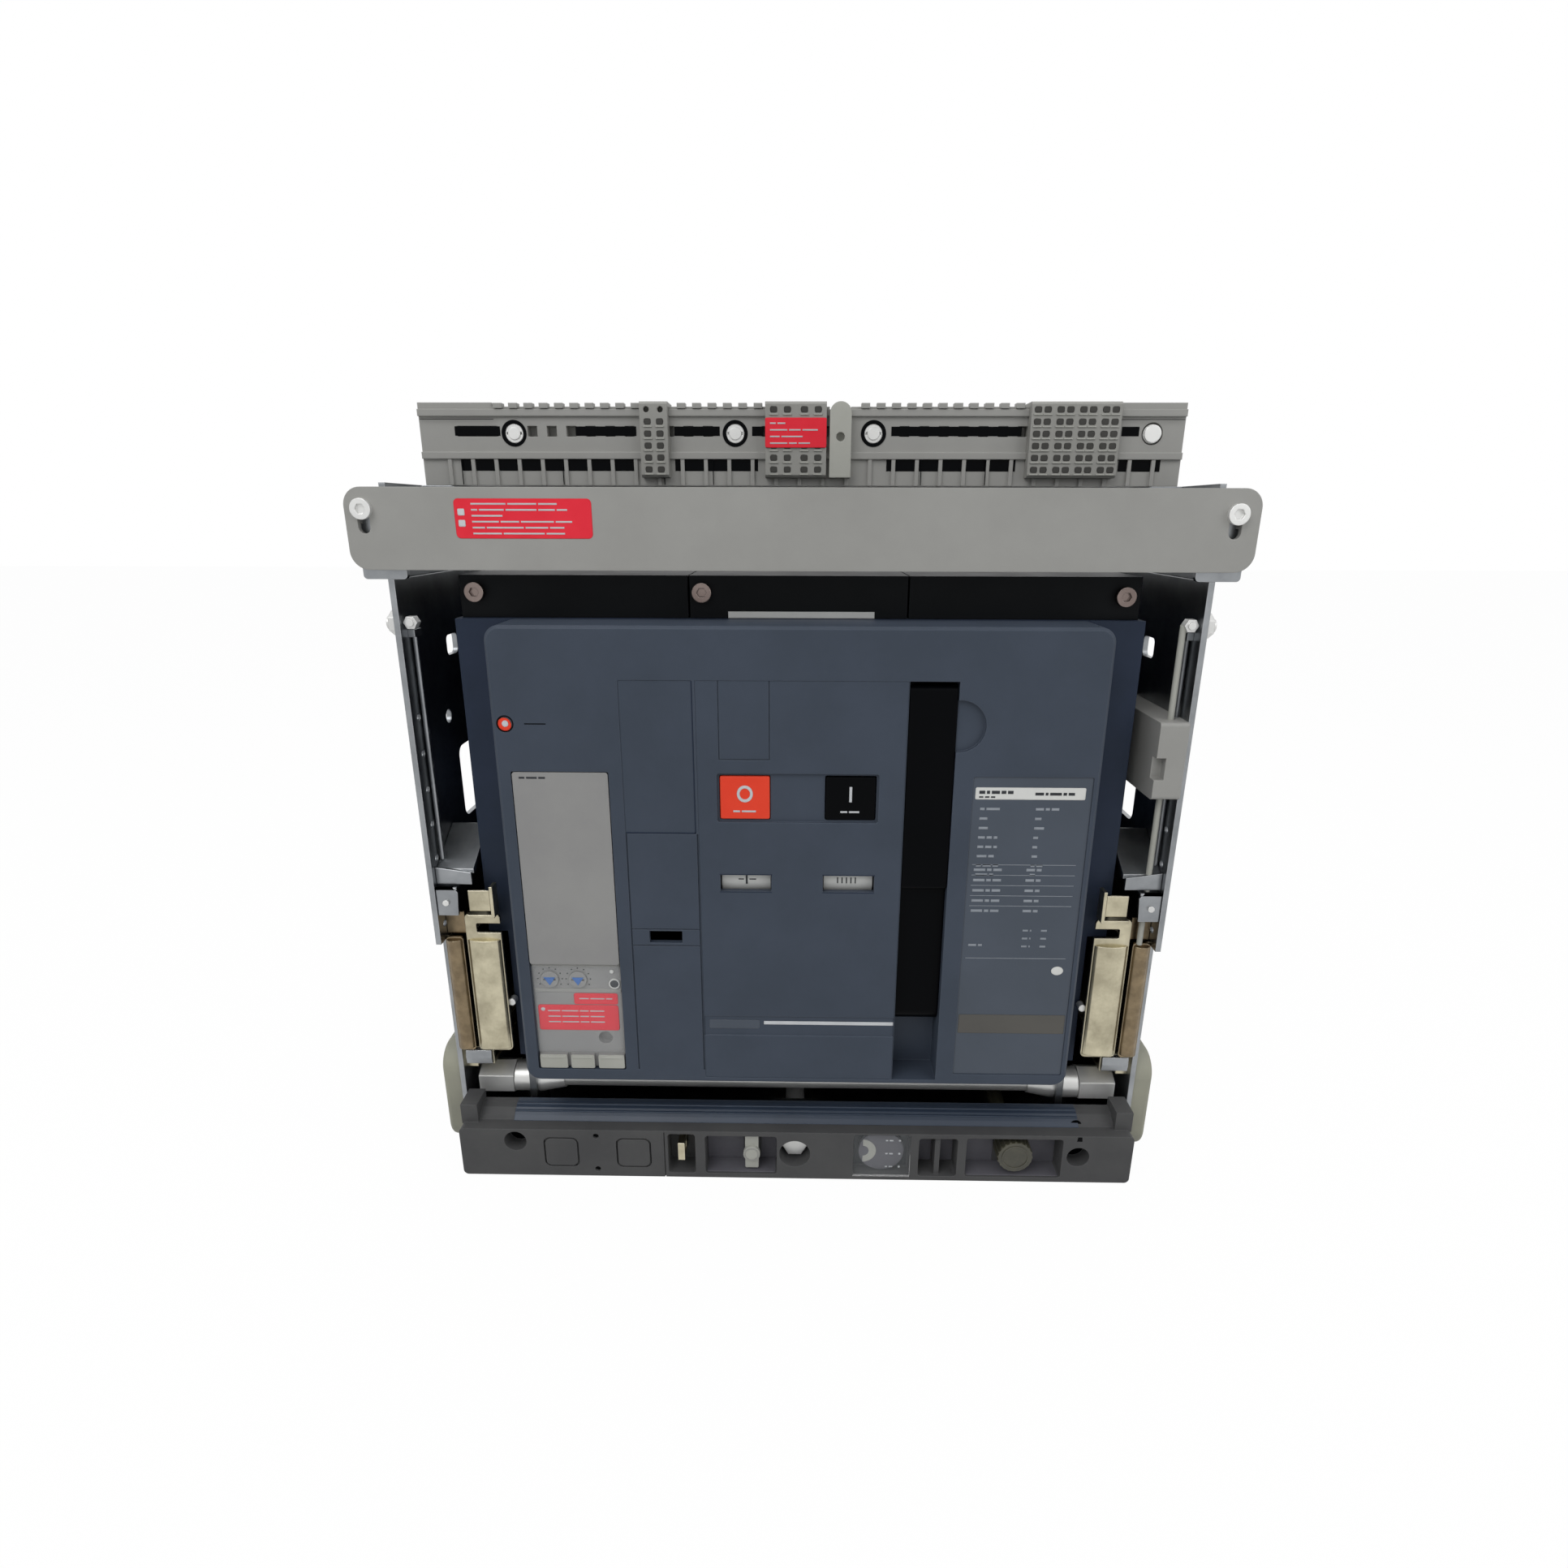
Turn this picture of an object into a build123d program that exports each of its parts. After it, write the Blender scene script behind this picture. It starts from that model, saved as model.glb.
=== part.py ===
from build123d import *
import os

# Drawout low-voltage air circuit breaker in its chassis. Millimetres, +Z up.
# X runs to the right seen from the front, the operator stands at -Y.
# The origin is under the middle of the chassis, on the surface it stands on.

# Depths of what stands one behind the other, front to back
COVER_DEPTH = 27.5
HOUSING_DEPTH = 150.0
BODY_DEPTH = 104.0
GUIDE_DEPTH = 6.3
REAR_BASE_DEPTH = 59.7
TERMINAL_REACH = 47.5
DEPTH = COVER_DEPTH + HOUSING_DEPTH + BODY_DEPTH + GUIDE_DEPTH + REAR_BASE_DEPTH + TERMINAL_REACH
FRONT = -DEPTH / 2
REAR = DEPTH / 2
HOUSING_FRONT = FRONT + COVER_DEPTH
BODY_FRONT = HOUSING_FRONT + HOUSING_DEPTH
BODY_BACK = BODY_FRONT + BODY_DEPTH

# Heights that stack up from the breaker's housing
HOUSING_TOP = 331.0
CAP_H = 22.0
CHUTE_TOP = HOUSING_TOP + CAP_H
PLATE_TOP = CHUTE_TOP - 1
BRACKET_RISE = 46.0
CARRIER_Z0 = PLATE_TOP + BRACKET_RISE
CARRIER_H = 39.0
CARRIER_TOP = CARRIER_Z0 + CARRIER_H
END_RISE = 2.0
HEIGHT = CARRIER_TOP + END_RISE

# Clearances
GAP = 0.3
FIT = 0.05
PUSH_GAP = 0.4

# Chassis side plates
PLATE_SPAN = 412.0
PLATE_T = 3.0
PLATE_SETBACK = 13.5
LOWER_SETBACK = 22.5
STEP_Z = 148.0
OUT_X = PLATE_SPAN / 2
IN_X = OUT_X - PLATE_T
BAR_OVERHANG = 14.5
WIDTH = PLATE_SPAN + 2 * BAR_OVERHANG
PLATE_FRONT = FRONT + PLATE_SETBACK
LOWER_FRONT = FRONT + LOWER_SETBACK

# Base plate and its mounting holes
BASE_T = 3.0
BASE_HOLE_R = 6.5
BASE_HOLE_DX = 300.0
BASE_HOLE_DY = 200.0
BASE_FRONT = FRONT + 21.5

# Poles, blades and terminals
POLE_PITCH = 115.0
POLES = (-POLE_PITCH, 0.0, POLE_PITCH)
LOWER_Z = 115.0
UPPER_Z = HOUSING_TOP - 86.0
BLADE_W = 70.0
BLADE_T = 10.0
BLADE_TIP = BODY_BACK + GUIDE_DEPTH + 21.7
TERMINAL_W = 75.0
TERMINAL_T = 15.0
TERMINAL_HOLE_R = 6.5
TERMINAL_HOLE_DX = 40.0
TERMINAL_HOLE_INSET = 22.0

# Rear insulating base
REAR_BASE_FRONT = BODY_BACK + GUIDE_DEPTH
REAR_BASE_BACK = REAR_BASE_FRONT + REAR_BASE_DEPTH
REAR_BASE_TOP = PLATE_TOP - 12.0
REAR_WALL_T = 10.0
WINDOW_W = 84.0
WINDOW_H = 40.0
CLUSTER_W = 76.0
CLUSTER_H = 38.0
CLUSTER_BACK = REAR_BASE_BACK - 22.0
FINGERS = 8
FINGER_SLOT = 1.6

# Safety shutters
SHUTTER_T = 3.0
SHUTTER_H = 46.0
SHUTTER_HALF = 187.5
SHUTTER_OPEN = 34.0
GUIDE_FRONT = BODY_BACK

# Racking gear
SCREW_Z = 17.8
SCREW_R = 6.0
SCREW_BACK = BODY_BACK - 24.0
SHAFT_Y = FRONT + 37.5
SHAFT_Z = 44.0
SHAFT_R = 6.0
HEX_R = 11.0
HEX_IN = 175.5
HEX_OUT = 197.0
BUSH_IN = 144.4
BUSH_STEP = 158.5
BUSH_R = 9.5
CARRIAGE_Z = 58.0
CARRIAGE_T = 3.0
CARRIAGE_HALF = 168.0
CARRIAGE_FRONT = BODY_FRONT - 70.0
CARRIAGE_BACK = BODY_BACK - 14.0

# Withdrawal rails
RAIL_BOTTOM = 62.0
RAIL_TOP = 73.7
RAIL_IN = 184.0
RAIL_OUT = 200.0
RAIL_FRONT = FRONT + 23.5
RAIL_BACK = BODY_BACK - 4.0
RAIL_WALL = 2.5

# Breaker: rear moulding
BREAKER_Z = 66.0
BODY_HALF = 172.0
BODY_TOP = HOUSING_TOP - 70.0
CHAMBER_W = 100.0
BODY_WALL = 6.0
BODY_FLOOR = 9.0

# Breaker: front housing
WING_HALF = 180.0
WAIST_HALF = 169.0
WING_Z = 150.0
HOUSING_T = 3.0

# Breaker: front cover
COVER_HALF = 156.4
COVER_Z0 = 67.5
COVER_T = 3.5
COVER_R = 8.0
PANEL_X0 = -52.0
PANEL_X1 = 55.8
PANEL_Z0 = 68.3
PANEL_Z1 = HOUSING_TOP - 27.0
PANEL_SINK = 0.2
SLOT_X0 = 56.0
SLOT_X1 = 81.0
SLOT_Z0 = 71.0
SLOT_WALL = 3.0
TRIP_X0 = -149.0
TRIP_X1 = -98.0
TRIP_Z0 = 75.4
TRIP_Z1 = HOUSING_TOP - 75.2
TRIP_SPLIT = 143.5
LABEL_X0 = 91.0
LABEL_X1 = 153.0
LABEL_Z0 = 75.0
LABEL_Z1 = HOUSING_TOP - 76.5
LABEL_T = 1.2
LABEL_DEPTH = 1.8
LOCK_X0 = -90.8
LOCK_X1 = -53.2
LOCK_Z0 = PANEL_Z1 - 82.2
COUNTER_X0 = -80.7
COUNTER_X1 = -62.6
COUNTER_Z0 = LOCK_Z0 - 64.1
COUNTER_Z1 = COUNTER_Z0 + 7.2

# Push buttons, flags and dials
BUTTON_W = 26.0
BUTTON_H = 23.6
BUTTON_Z = PANEL_Z1 - 62.0
OPEN_X = -27.3
CLOSE_X = 27.9
BUTTON_SINK = 0.8
WELL_DEPTH = 1.6
WELL_MARGIN = 1.6
FLAG_Z = BUTTON_Z - 48.25
FLAG_H = 9.5
FLAG_W = 27.5
FLAG_R = 12.0
FLAG_Y = FRONT + 17.0
STUB_R = 3.0
RESET_X = -149.9
RESET_Z = HOUSING_TOP - 50.3
RESET_R = 3.6
RESET_LENGTH = 8.0
DIAL_R = 5.0
DIAL_Z = 133.0
DIAL_XS = (-138.8, -122.8)

# Charging handle
HANDLE_Y = FRONT + 13.0
HANDLE_Z = 114.0
HANDLE_HUB_R = 8.0
HANDLE_TOP = PANEL_Z1 - 2.5
HANDLE_STEP = HANDLE_TOP - 107.5
HANDLE_PIN_R = 3.0
LEDGE_Z = 104.0

# Contact mechanism
SHAFT2_Y = HOUSING_FRONT + 110.0
SHAFT2_Z = 150.0
POLE_SHAFT_R = 9.0
ARM_Y = BODY_FRONT + 50.0
ARM_Z = 125.0
ARM_T = 16.0
ARM_W = 60.0
ARM_PIN_R = 4.0
PAD_Y = ARM_Y + 10.0
CAM_Y = HOUSING_FRONT + 80.0
CAM_Z = HOUSING_TOP - 101.0
CAM_SHAFT_R = 7.0
FRAME_HALF = 63.0
FRAME_T = 3.0
FRAME_FRONT = HOUSING_FRONT + 10.0
FRAME_BACK = BODY_FRONT - 5.0
SPRING_X = 35.0
SPRING_Y = FRAME_FRONT + 35.0
SPRING_R = 12.0
SPRING_WIRE_R = 2.5
SPRING_Z0 = 110.0
SPRING_Z1 = HOUSING_TOP - 61.0
SPRING_COILS = 17

# Arc chutes
CHUTE_HALF = 54.0
CHUTE_WALL = 3.0
CAP_FRONT = HOUSING_FRONT + 6.0
CAP_OUT = 178.0
CAP_JOINT = 1.0
SPLITTERS = 6
SPLITTER_T = 2.0

# Front skirt
SKIRT_HALF = IN_X - 2.1
SKIRT_TOP = 33.0
SHELF_TOP = 39.0
RECESS = 14.0
CRANK_HOLE_R = 9.3
STORE_X = 131.8
STORE_Z = 17.0
KNOB_R = 10.0
CRANK_R = 5.0
CRANK_BACK = FRONT + 137.5
RELEASE_X = -25.8
RELEASE_Z = 16.8
RELEASE_R = 5.0
TAB_X = -68.0
DISC_X = 52.0
DISC_Z = 17.6
DISC_R = 13.5
WINDOW_X0 = 35.0
WINDOW_X1 = 69.1
WINDOW_Z0 = 2.3
WINDOW_Z1 = 32.0
WINDOW_T = 1.6

# Terminal shield bar, brackets and carrier
SHIELD_Z0 = PLATE_TOP + 4.8
SHIELD_H = 39.0
SHIELD_Z1 = SHIELD_Z0 + SHIELD_H
SHIELD_FACE = FRONT + 8.0
SHIELD_T = 3.0
SHIELD_SCREWS = ((-WIDTH / 2 + 8.9, SHIELD_Z1 - 10.2), (WIDTH / 2 - 11.3, SHIELD_Z1 - 11.9))
SCREW_HEAD_R = 5.0
SCREW_SHANK_R = 3.4
CARRIER_HALF = IN_X - 2.5
CARRIER_FACE = FRONT + 60.5
CARRIER_BACK = CARRIER_FACE + 67.0
CARRIER_SCREWS = (-CARRIER_HALF + 49.8, -33.9, 38.7, CARRIER_HALF - 16.5)
SCREW_LINE_Z = CARRIER_TOP - 13.0
BLOCK_FACE = CARRIER_FACE - 6.0
BLOCK_BACK = CARRIER_FACE + 12.0
BLOCK_Z0 = CARRIER_Z0 + 4.0
BLOCK_LEFT = (-83.1, -68.6)
BLOCK_CENTRE = (-17.9, 13.9)
END_STOP = (15.6, 26.8)
BLOCK_RIGHT = (CARRIER_HALF - 81.5, CARRIER_HALF - 35.2)
RIB_PITCH = 12.4
COMB_PITCH = 10.3
END_PAD_W = 39.0
HOLE_ROWS = 6
WIRE_HOLE_R = 1.5

# Interlock on the right plate
LOCK_BOX_X = IN_X - 15.0
LOCK_BOX_Y1 = FRONT + 89.0
LOCK_BOX_Z1 = PLATE_TOP - 71.0
LOCK_BOX_Z0 = LOCK_BOX_Z1 - 42.0
ROD_X = IN_X - 7.0
ROD_Y = FRONT + 19.5
ROD_R = 1.6
ROD_TOP = PLATE_TOP - 22.0

# Front flanges of chassis and breaker
FLANGE_FACE = FRONT + 20.0
FLANGE_T = 2.0
FLANGE_Z0 = 74.0
FLANGE_Z1 = 149.5
CHASSIS_FLANGE_X = 192.9
BREAKER_FLANGE_X0 = 170.4
BREAKER_FLANGE_X1 = 190.7
WEB_BACK = BODY_BACK - 24.0


def span(x0, x1, y0, y1, z0, z1):
    """Box between two corners."""
    return Pos((x0 + x1) / 2, (y0 + y1) / 2, (z0 + z1) / 2) * Box(x1 - x0, y1 - y0, z1 - z0)


def rod_x(x0, x1, y, z, r):
    """Round bar along X."""
    return Pos((x0 + x1) / 2, y, z) * Rot(0, 90, 0) * Cylinder(r, x1 - x0)


def rod_y(x, y0, y1, z, r):
    """Round bar along Y."""
    return Pos(x, (y0 + y1) / 2, z) * Rot(90, 0, 0) * Cylinder(r, y1 - y0)


def rod_z(x, y, z0, z1, r):
    """Round bar along Z."""
    return Pos(x, y, (z0 + z1) / 2) * Cylinder(r, z1 - z0)


def hex_x(x0, x1, y, z, r):
    """Hexagonal bar along X, r over its corners."""
    bar = extrude(RegularPolygon(r, 6), (x1 - x0) / 2, both=True)
    return Pos((x0 + x1) / 2, y, z) * Rot(0, 90, 0) * bar


def hex_y(x, y0, y1, z, r):
    """Hexagonal bar along Y, r over its corners."""
    bar = extrude(RegularPolygon(r, 6), (y1 - y0) / 2, both=True)
    return Pos(x, (y0 + y1) / 2, z) * Rot(90, 0, 0) * bar


def panel(x0, x1, y0, y1, z0, z1, r):
    """Plate across the front with rounded corners."""
    face = RectangleRounded(x1 - x0, z1 - z0, r)
    return Pos((x0 + x1) / 2, (y0 + y1) / 2, (z0 + z1) / 2) * Rot(90, 0, 0) * extrude(face, (y1 - y0) / 2, both=True)


def cheek(x0, x1, y0, y1, z0, z1, r):
    """Plate along the side with rounded corners."""
    face = RectangleRounded(z1 - z0, y1 - y0, r)
    return Pos((x0 + x1) / 2, (y0 + y1) / 2, (z0 + z1) / 2) * Rot(0, 90, 0) * extrude(face, (x1 - x0) / 2, both=True)


def profile_x(points, x0, x1):
    """Outline in Y and Z, run along X."""
    face = make_face(Polyline(*[(0, y, z) for y, z in points], close=True))
    return Pos(x0, 0, 0) * extrude(face, x1 - x0, dir=(1, 0, 0))


def flip(shape):
    """The same piece on the other side."""
    return mirror(shape, about=Plane.YZ)


def save(name, *shapes):
    """Write every solid of the shapes to one file."""
    solids = [solid for shape in shapes for solid in shape.solids()]
    export_step(Compound(solids), f"parts/{name}.step")


def side_plate():
    """Left chassis plate: tall front edge, stepped back below, cut-outs and rows of holes."""
    plate = span(-OUT_X, -IN_X, PLATE_FRONT, REAR_BASE_BACK, STEP_Z, PLATE_TOP)
    plate += span(-OUT_X, -IN_X, LOWER_FRONT, REAR_BASE_BACK, 0, STEP_Z)
    plate -= cheek(-OUT_X - 1, -IN_X + 1, PLATE_FRONT + 56, PLATE_FRONT + 72, PLATE_TOP - 47, PLATE_TOP - 35.5, 3)
    plate -= cheek(-OUT_X - 1, -IN_X + 1, PLATE_FRONT + 56, PLATE_FRONT + 95, PLATE_TOP - 146, PLATE_TOP - 102, 6)
    plate -= rod_x(-OUT_X - 1, -IN_X + 1, PLATE_FRONT + 47.4, PLATE_TOP - 80.9, 4)
    for row in range(7):
        for side, shift in ((0, 0), (9.4, -10)):
            z = PLATE_TOP - 72.6 - 20.3 * row + shift
            if z > STEP_Z + 8:
                plate -= rod_x(-OUT_X - 1, -IN_X + 1, PLATE_FRONT + 8 + side, z, 2)
    return plate


def base_plate():
    """Folded floor with mounting holes, screw bearings and shaft lugs."""
    floor = span(-IN_X, IN_X, BASE_FRONT, REAR_BASE_BACK, 0, BASE_T)
    for sx in (-1, 1):
        for sy in (-1, 1):
            floor -= rod_z(sx * BASE_HOLE_DX / 2, sy * BASE_HOLE_DY / 2, -1, BASE_T + 1, BASE_HOLE_R)
    for y in (BASE_FRONT + 6, SCREW_BACK - 8):
        lug = span(-14, 14, y, y + 6, BASE_T, SCREW_Z + 14)
        floor += lug - rod_y(0, y - 1, y + 7, SCREW_Z, SCREW_R + FIT)
    for sx in (-1, 1):
        lug = cheek(-2, 2, SHAFT_Y - 12, SHAFT_Y + 12, BASE_T - 1, SHAFT_Z + 12, 1)
        lug = Pos(sx * (BUSH_STEP + 4), 0, 0) * lug
        lug -= rod_x(sx * (BUSH_STEP + 4) - 5, sx * (BUSH_STEP + 4) + 5, SHAFT_Y, SHAFT_Z, BUSH_R)
        floor += lug
    return floor


def rear_base():
    """Insulating wall with a window for each blade and a seat for each terminal."""
    wall = span(-IN_X, IN_X, REAR_BASE_FRONT, REAR_BASE_BACK, BASE_T, REAR_BASE_TOP)
    for x in POLES:
        for z in (LOWER_Z, UPPER_Z):
            wall -= span(x - WINDOW_W / 2, x + WINDOW_W / 2, REAR_BASE_FRONT - 1,
                         REAR_BASE_BACK - REAR_WALL_T, z - WINDOW_H / 2, z + WINDOW_H / 2)
            wall -= span(x - TERMINAL_W / 2, x + TERMINAL_W / 2, REAR_BASE_FRONT,
                         REAR_BASE_BACK + 1, z - TERMINAL_T / 2, z + TERMINAL_T / 2)
    for z in ((LOWER_Z + UPPER_Z) / 2, UPPER_Z + 60):
        wall -= span(-IN_X + 12, IN_X - 12, REAR_BASE_BACK - 8, REAR_BASE_BACK + 1, z - 18, z + 18)
    return wall


def rear_terminal(x, z):
    """Horizontal copper pad with two bolt holes."""
    pad = span(x - TERMINAL_W / 2, x + TERMINAL_W / 2, CLUSTER_BACK, REAR, z - TERMINAL_T / 2, z + TERMINAL_T / 2)
    for side in (-1, 1):
        pad -= rod_z(x + side * TERMINAL_HOLE_DX / 2, REAR - TERMINAL_HOLE_INSET, z - TERMINAL_T,
                     z + TERMINAL_T, TERMINAL_HOLE_R)
    return pad


def contact_cluster(x, z):
    """Sprung contact fingers above and below the blade."""
    front = REAR_BASE_FRONT + 1.7
    block = span(x - CLUSTER_W / 2, x + CLUSTER_W / 2, front, CLUSTER_BACK, z - CLUSTER_H / 2, z + CLUSTER_H / 2)
    block -= span(x - CLUSTER_W, x + CLUSTER_W, front - 1, BLADE_TIP + 3,
                  z - BLADE_T / 2 - GAP, z + BLADE_T / 2 + GAP)
    pitch = CLUSTER_W / FINGERS
    for index in range(1, FINGERS):
        at = x - CLUSTER_W / 2 + index * pitch
        block -= span(at - FINGER_SLOT / 2, at + FINGER_SLOT / 2, front - 1, BLADE_TIP + 6,
                      z - CLUSTER_H, z + CLUSTER_H)
    return block


def shutter_guide():
    """Left channel that holds the shutter edges."""
    guide = span(-IN_X, -SHUTTER_HALF - GAP, GUIDE_FRONT, REAR_BASE_FRONT, 30, REAR_BASE_TOP - 5)
    lip_back = REAR_BASE_FRONT - SHUTTER_T - 2 * GAP
    return guide + span(-SHUTTER_HALF - GAP, -SHUTTER_HALF + 7, GUIDE_FRONT, lip_back, 30, REAR_BASE_TOP - 5)


def shutter(z0):
    """Insulating shutter with stiffening grooves."""
    front = REAR_BASE_FRONT - GAP - SHUTTER_T
    plate = span(-SHUTTER_HALF, SHUTTER_HALF, front, front + SHUTTER_T, z0, z0 + SHUTTER_H)
    for x in POLES:
        plate -= span(x - BLADE_W / 2, x + BLADE_W / 2, front - 1, front + 1, z0 + 18, z0 + 28)
    return plate


def chassis_flange():
    """Narrow front flange of the left plate with its bracket."""
    flange = panel(-IN_X, -CHASSIS_FLANGE_X, FLANGE_FACE, FLANGE_FACE + FLANGE_T, FLANGE_Z0, FLANGE_Z1, 2)
    web = span(-IN_X, -IN_X + FLANGE_T, FLANGE_FACE + FLANGE_T, FLANGE_FACE + 35, FLANGE_Z0, FLANGE_Z1)
    return flange + web


def rail_guide():
    """Ledge on the left plate that carries a rail."""
    y0 = RAIL_FRONT + 4
    top = RAIL_BOTTOM - GAP
    ledge = span(-IN_X, -RAIL_OUT + 4, y0, RAIL_BACK + 2, top - 4.7, top)
    return ledge + span(-IN_X, -RAIL_OUT - GAP, y0, RAIL_BACK + 2, top, RAIL_TOP)


def terminal_bracket():
    """Left bracket that carries the shield bar and the carrier."""
    seat = SHIELD_FACE + 5.5
    plate = panel(-OUT_X - 12, -OUT_X + 10, seat, seat + 3, PLATE_TOP, SHIELD_Z1 - 2, 2)
    web = span(-OUT_X, -IN_X, seat + 3, CARRIER_BACK, PLATE_TOP, CARRIER_Z0)
    shelf = span(-IN_X, -IN_X + 17, CARRIER_FACE, CARRIER_BACK, CARRIER_Z0 - 3, CARRIER_Z0)
    return plate + web + shelf


def rail():
    """Left withdrawal rail, an open channel with a stop at its front."""
    bar = span(-RAIL_OUT, -RAIL_IN, RAIL_FRONT, RAIL_BACK, RAIL_BOTTOM, RAIL_TOP)
    bar -= span(-RAIL_OUT + RAIL_WALL, -RAIL_IN + 1, RAIL_FRONT + 3, RAIL_BACK + 1,
                RAIL_BOTTOM + RAIL_WALL, RAIL_TOP - RAIL_WALL)
    return bar


def racking_screw():
    """Lead screw with a hexagonal drive end behind the crank hole."""
    screw = rod_y(0, BASE_FRONT + 1, SCREW_BACK + 6, SCREW_Z, SCREW_R)
    return screw + hex_y(0, FRONT + 7.5, BASE_FRONT + 1, SCREW_Z, SCREW_R + 1.5)


def cross_shaft():
    """Shaft across the chassis with hexagonal ends."""
    shaft = rod_x(-HEX_IN, HEX_IN, SHAFT_Y, SHAFT_Z, SHAFT_R)
    end = hex_x(HEX_IN, HEX_OUT, SHAFT_Y, SHAFT_Z, HEX_R)
    end -= rod_x(HEX_OUT - 4, HEX_OUT + 1, SHAFT_Y, SHAFT_Z, SHAFT_R - 1)
    return shaft + end + flip(end)


def shaft_bush():
    """Right bush: a tapered boot and a plain collar."""
    boot = Pos((BUSH_IN + BUSH_STEP) / 2, SHAFT_Y, SHAFT_Z) * Rot(0, 90, 0)
    bush = boot * Cone(BUSH_R - 2.5, BUSH_R, BUSH_STEP - BUSH_IN)
    bush += rod_x(BUSH_STEP, HEX_IN - GAP, SHAFT_Y, SHAFT_Z, BUSH_R)
    return bush - rod_x(BUSH_IN - 1, HEX_IN, SHAFT_Y, SHAFT_Z, SHAFT_R + FIT)


def racking_carriage():
    """Plate driven by the screw, with hooks for the breaker."""
    top = CARRIAGE_Z + CARRIAGE_T
    plate = span(-CARRIAGE_HALF, CARRIAGE_HALF, CARRIAGE_FRONT, CARRIAGE_BACK, CARRIAGE_Z, top)
    for x in (-120, 120):
        plate += span(x - 12, x + 12, -40, -28, top, BREAKER_Z - GAP)
        plate -= span(x - 25, x + 25, -10, 50, CARRIAGE_Z - 1, top + 1)
    nut = span(-12, 12, -6, 16, BASE_T + 2, CARRIAGE_Z)
    nut -= rod_y(0, -7, 17, SCREW_Z, SCREW_R + FIT)
    return plate + nut


def front_skirt():
    """Lower cover with the recesses of the racking controls."""
    skirt = panel(-SKIRT_HALF, SKIRT_HALF, FRONT, BASE_FRONT, 0, SKIRT_TOP, 3)
    shelf = [(FRONT + 8, SKIRT_TOP - 1), (FRONT + 10, SKIRT_TOP + 2), (FRONT + 14, SHELF_TOP - 1),
             (FRONT + 18, SHELF_TOP), (BASE_FRONT, SHELF_TOP), (BASE_FRONT, SKIRT_TOP - 1)]
    skirt += profile_x(shelf, -SKIRT_HALF, SKIRT_HALF)
    for side in (-1, 1):
        x = side * (SKIRT_HALF - 5)
        skirt += span(x - 5, x + 5, FRONT + 6, BASE_FRONT, SKIRT_TOP - 1, SHELF_TOP + 6)
    floor = FRONT + RECESS
    for x0, x1, z0, z1 in ((-76, -59.5, 3, 31), (-53.7, -10.7, 3, 30), (74, 97.1, 3, 30), (102.3, 159.4, 3, 30.5)):
        skirt -= panel(x0, x1, FRONT - 1, floor, z0, z1, 2)
    skirt += span(84, 87, FRONT + 2, floor, 3, 30)
    skirt -= rod_y(0, FRONT - 1, BASE_FRONT + 1, SCREW_Z, CRANK_HOLE_R)
    skirt -= span(WINDOW_X0, WINDOW_X1, FRONT - 1, FRONT + 9.5, WINDOW_Z0, WINDOW_Z1)
    skirt -= rod_y(DISC_X, FRONT, BASE_FRONT - 4, DISC_Z, STUB_R + FIT)
    skirt -= rod_y(RELEASE_X, FRONT, BASE_FRONT + 1, RELEASE_Z, RELEASE_R - 2 + GAP)
    skirt -= rod_y(STORE_X, FRONT, BASE_FRONT + 1, STORE_Z, CRANK_R + GAP)
    skirt -= span(TAB_X - 2 - GAP, TAB_X + 2 + GAP, FRONT, BASE_FRONT + 1, 12 - GAP, 24 + GAP)
    skirt -= rod_y(-SKIRT_HALF + 33.4, FRONT - 1, FRONT + 10, 24.5, 6.7)
    skirt -= rod_y(SKIRT_HALF - 32.1, FRONT - 1, FRONT + 10, 18.2, 6.7)
    for x in (-140.2, -96.6):
        rim = panel(x - 10.5, x + 10.5, FRONT - 1, FRONT + 1.2, 6.5, 27.5, 4)
        skirt -= rim - panel(x - 9.5, x + 9.5, FRONT - 2, FRONT + 2, 7.5, 26.5, 3.5)
    for z in (5.1, 28.7):
        skirt -= rod_y(-118.9, FRONT - 1, FRONT + 1.5, z, 1.8)
    skirt -= span(-78.3, -77.7, FRONT - 1, FRONT + 1, -1, SKIRT_TOP - 1)
    return skirt


def position_disc():
    """Indicator disc of the racked position on its stub."""
    disc = rod_y(DISC_X, FRONT + 4, FRONT + 7, DISC_Z, DISC_R)
    return disc + rod_y(DISC_X, FRONT + 7, BASE_FRONT - 5, DISC_Z, STUB_R)


def racking_crank():
    """Stored crank: ribbed knob, shaft and socket."""
    crank = rod_y(STORE_X, FRONT + 0.5, FRONT + RECESS - GAP, STORE_Z, KNOB_R)
    crank += rod_y(STORE_X, FRONT + RECESS - GAP, CRANK_BACK, STORE_Z, CRANK_R)
    return crank - hex_y(STORE_X, CRANK_BACK - 20, CRANK_BACK + 1, STORE_Z, CRANK_R - 1.4)


def release_button():
    """Button that frees the racking screw."""
    tab = panel(RELEASE_X - 4, RELEASE_X + 4, FRONT + 3, FRONT + 9, 5, 28.5, 1)
    tab += rod_y(RELEASE_X, FRONT + 0.5, FRONT + 3, RELEASE_Z, RELEASE_R)
    return tab + rod_y(RELEASE_X, FRONT + 9, BASE_FRONT - 2, RELEASE_Z, RELEASE_R - 2)


def padlock_tab():
    """Flat tab that is pulled out to take a padlock."""
    tab = span(TAB_X - 2, TAB_X + 2, FRONT + 0.5, BASE_FRONT + 4, 12, 24)
    return tab - rod_x(TAB_X - 3, TAB_X + 3, FRONT + 6, 18, 3.5)


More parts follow.
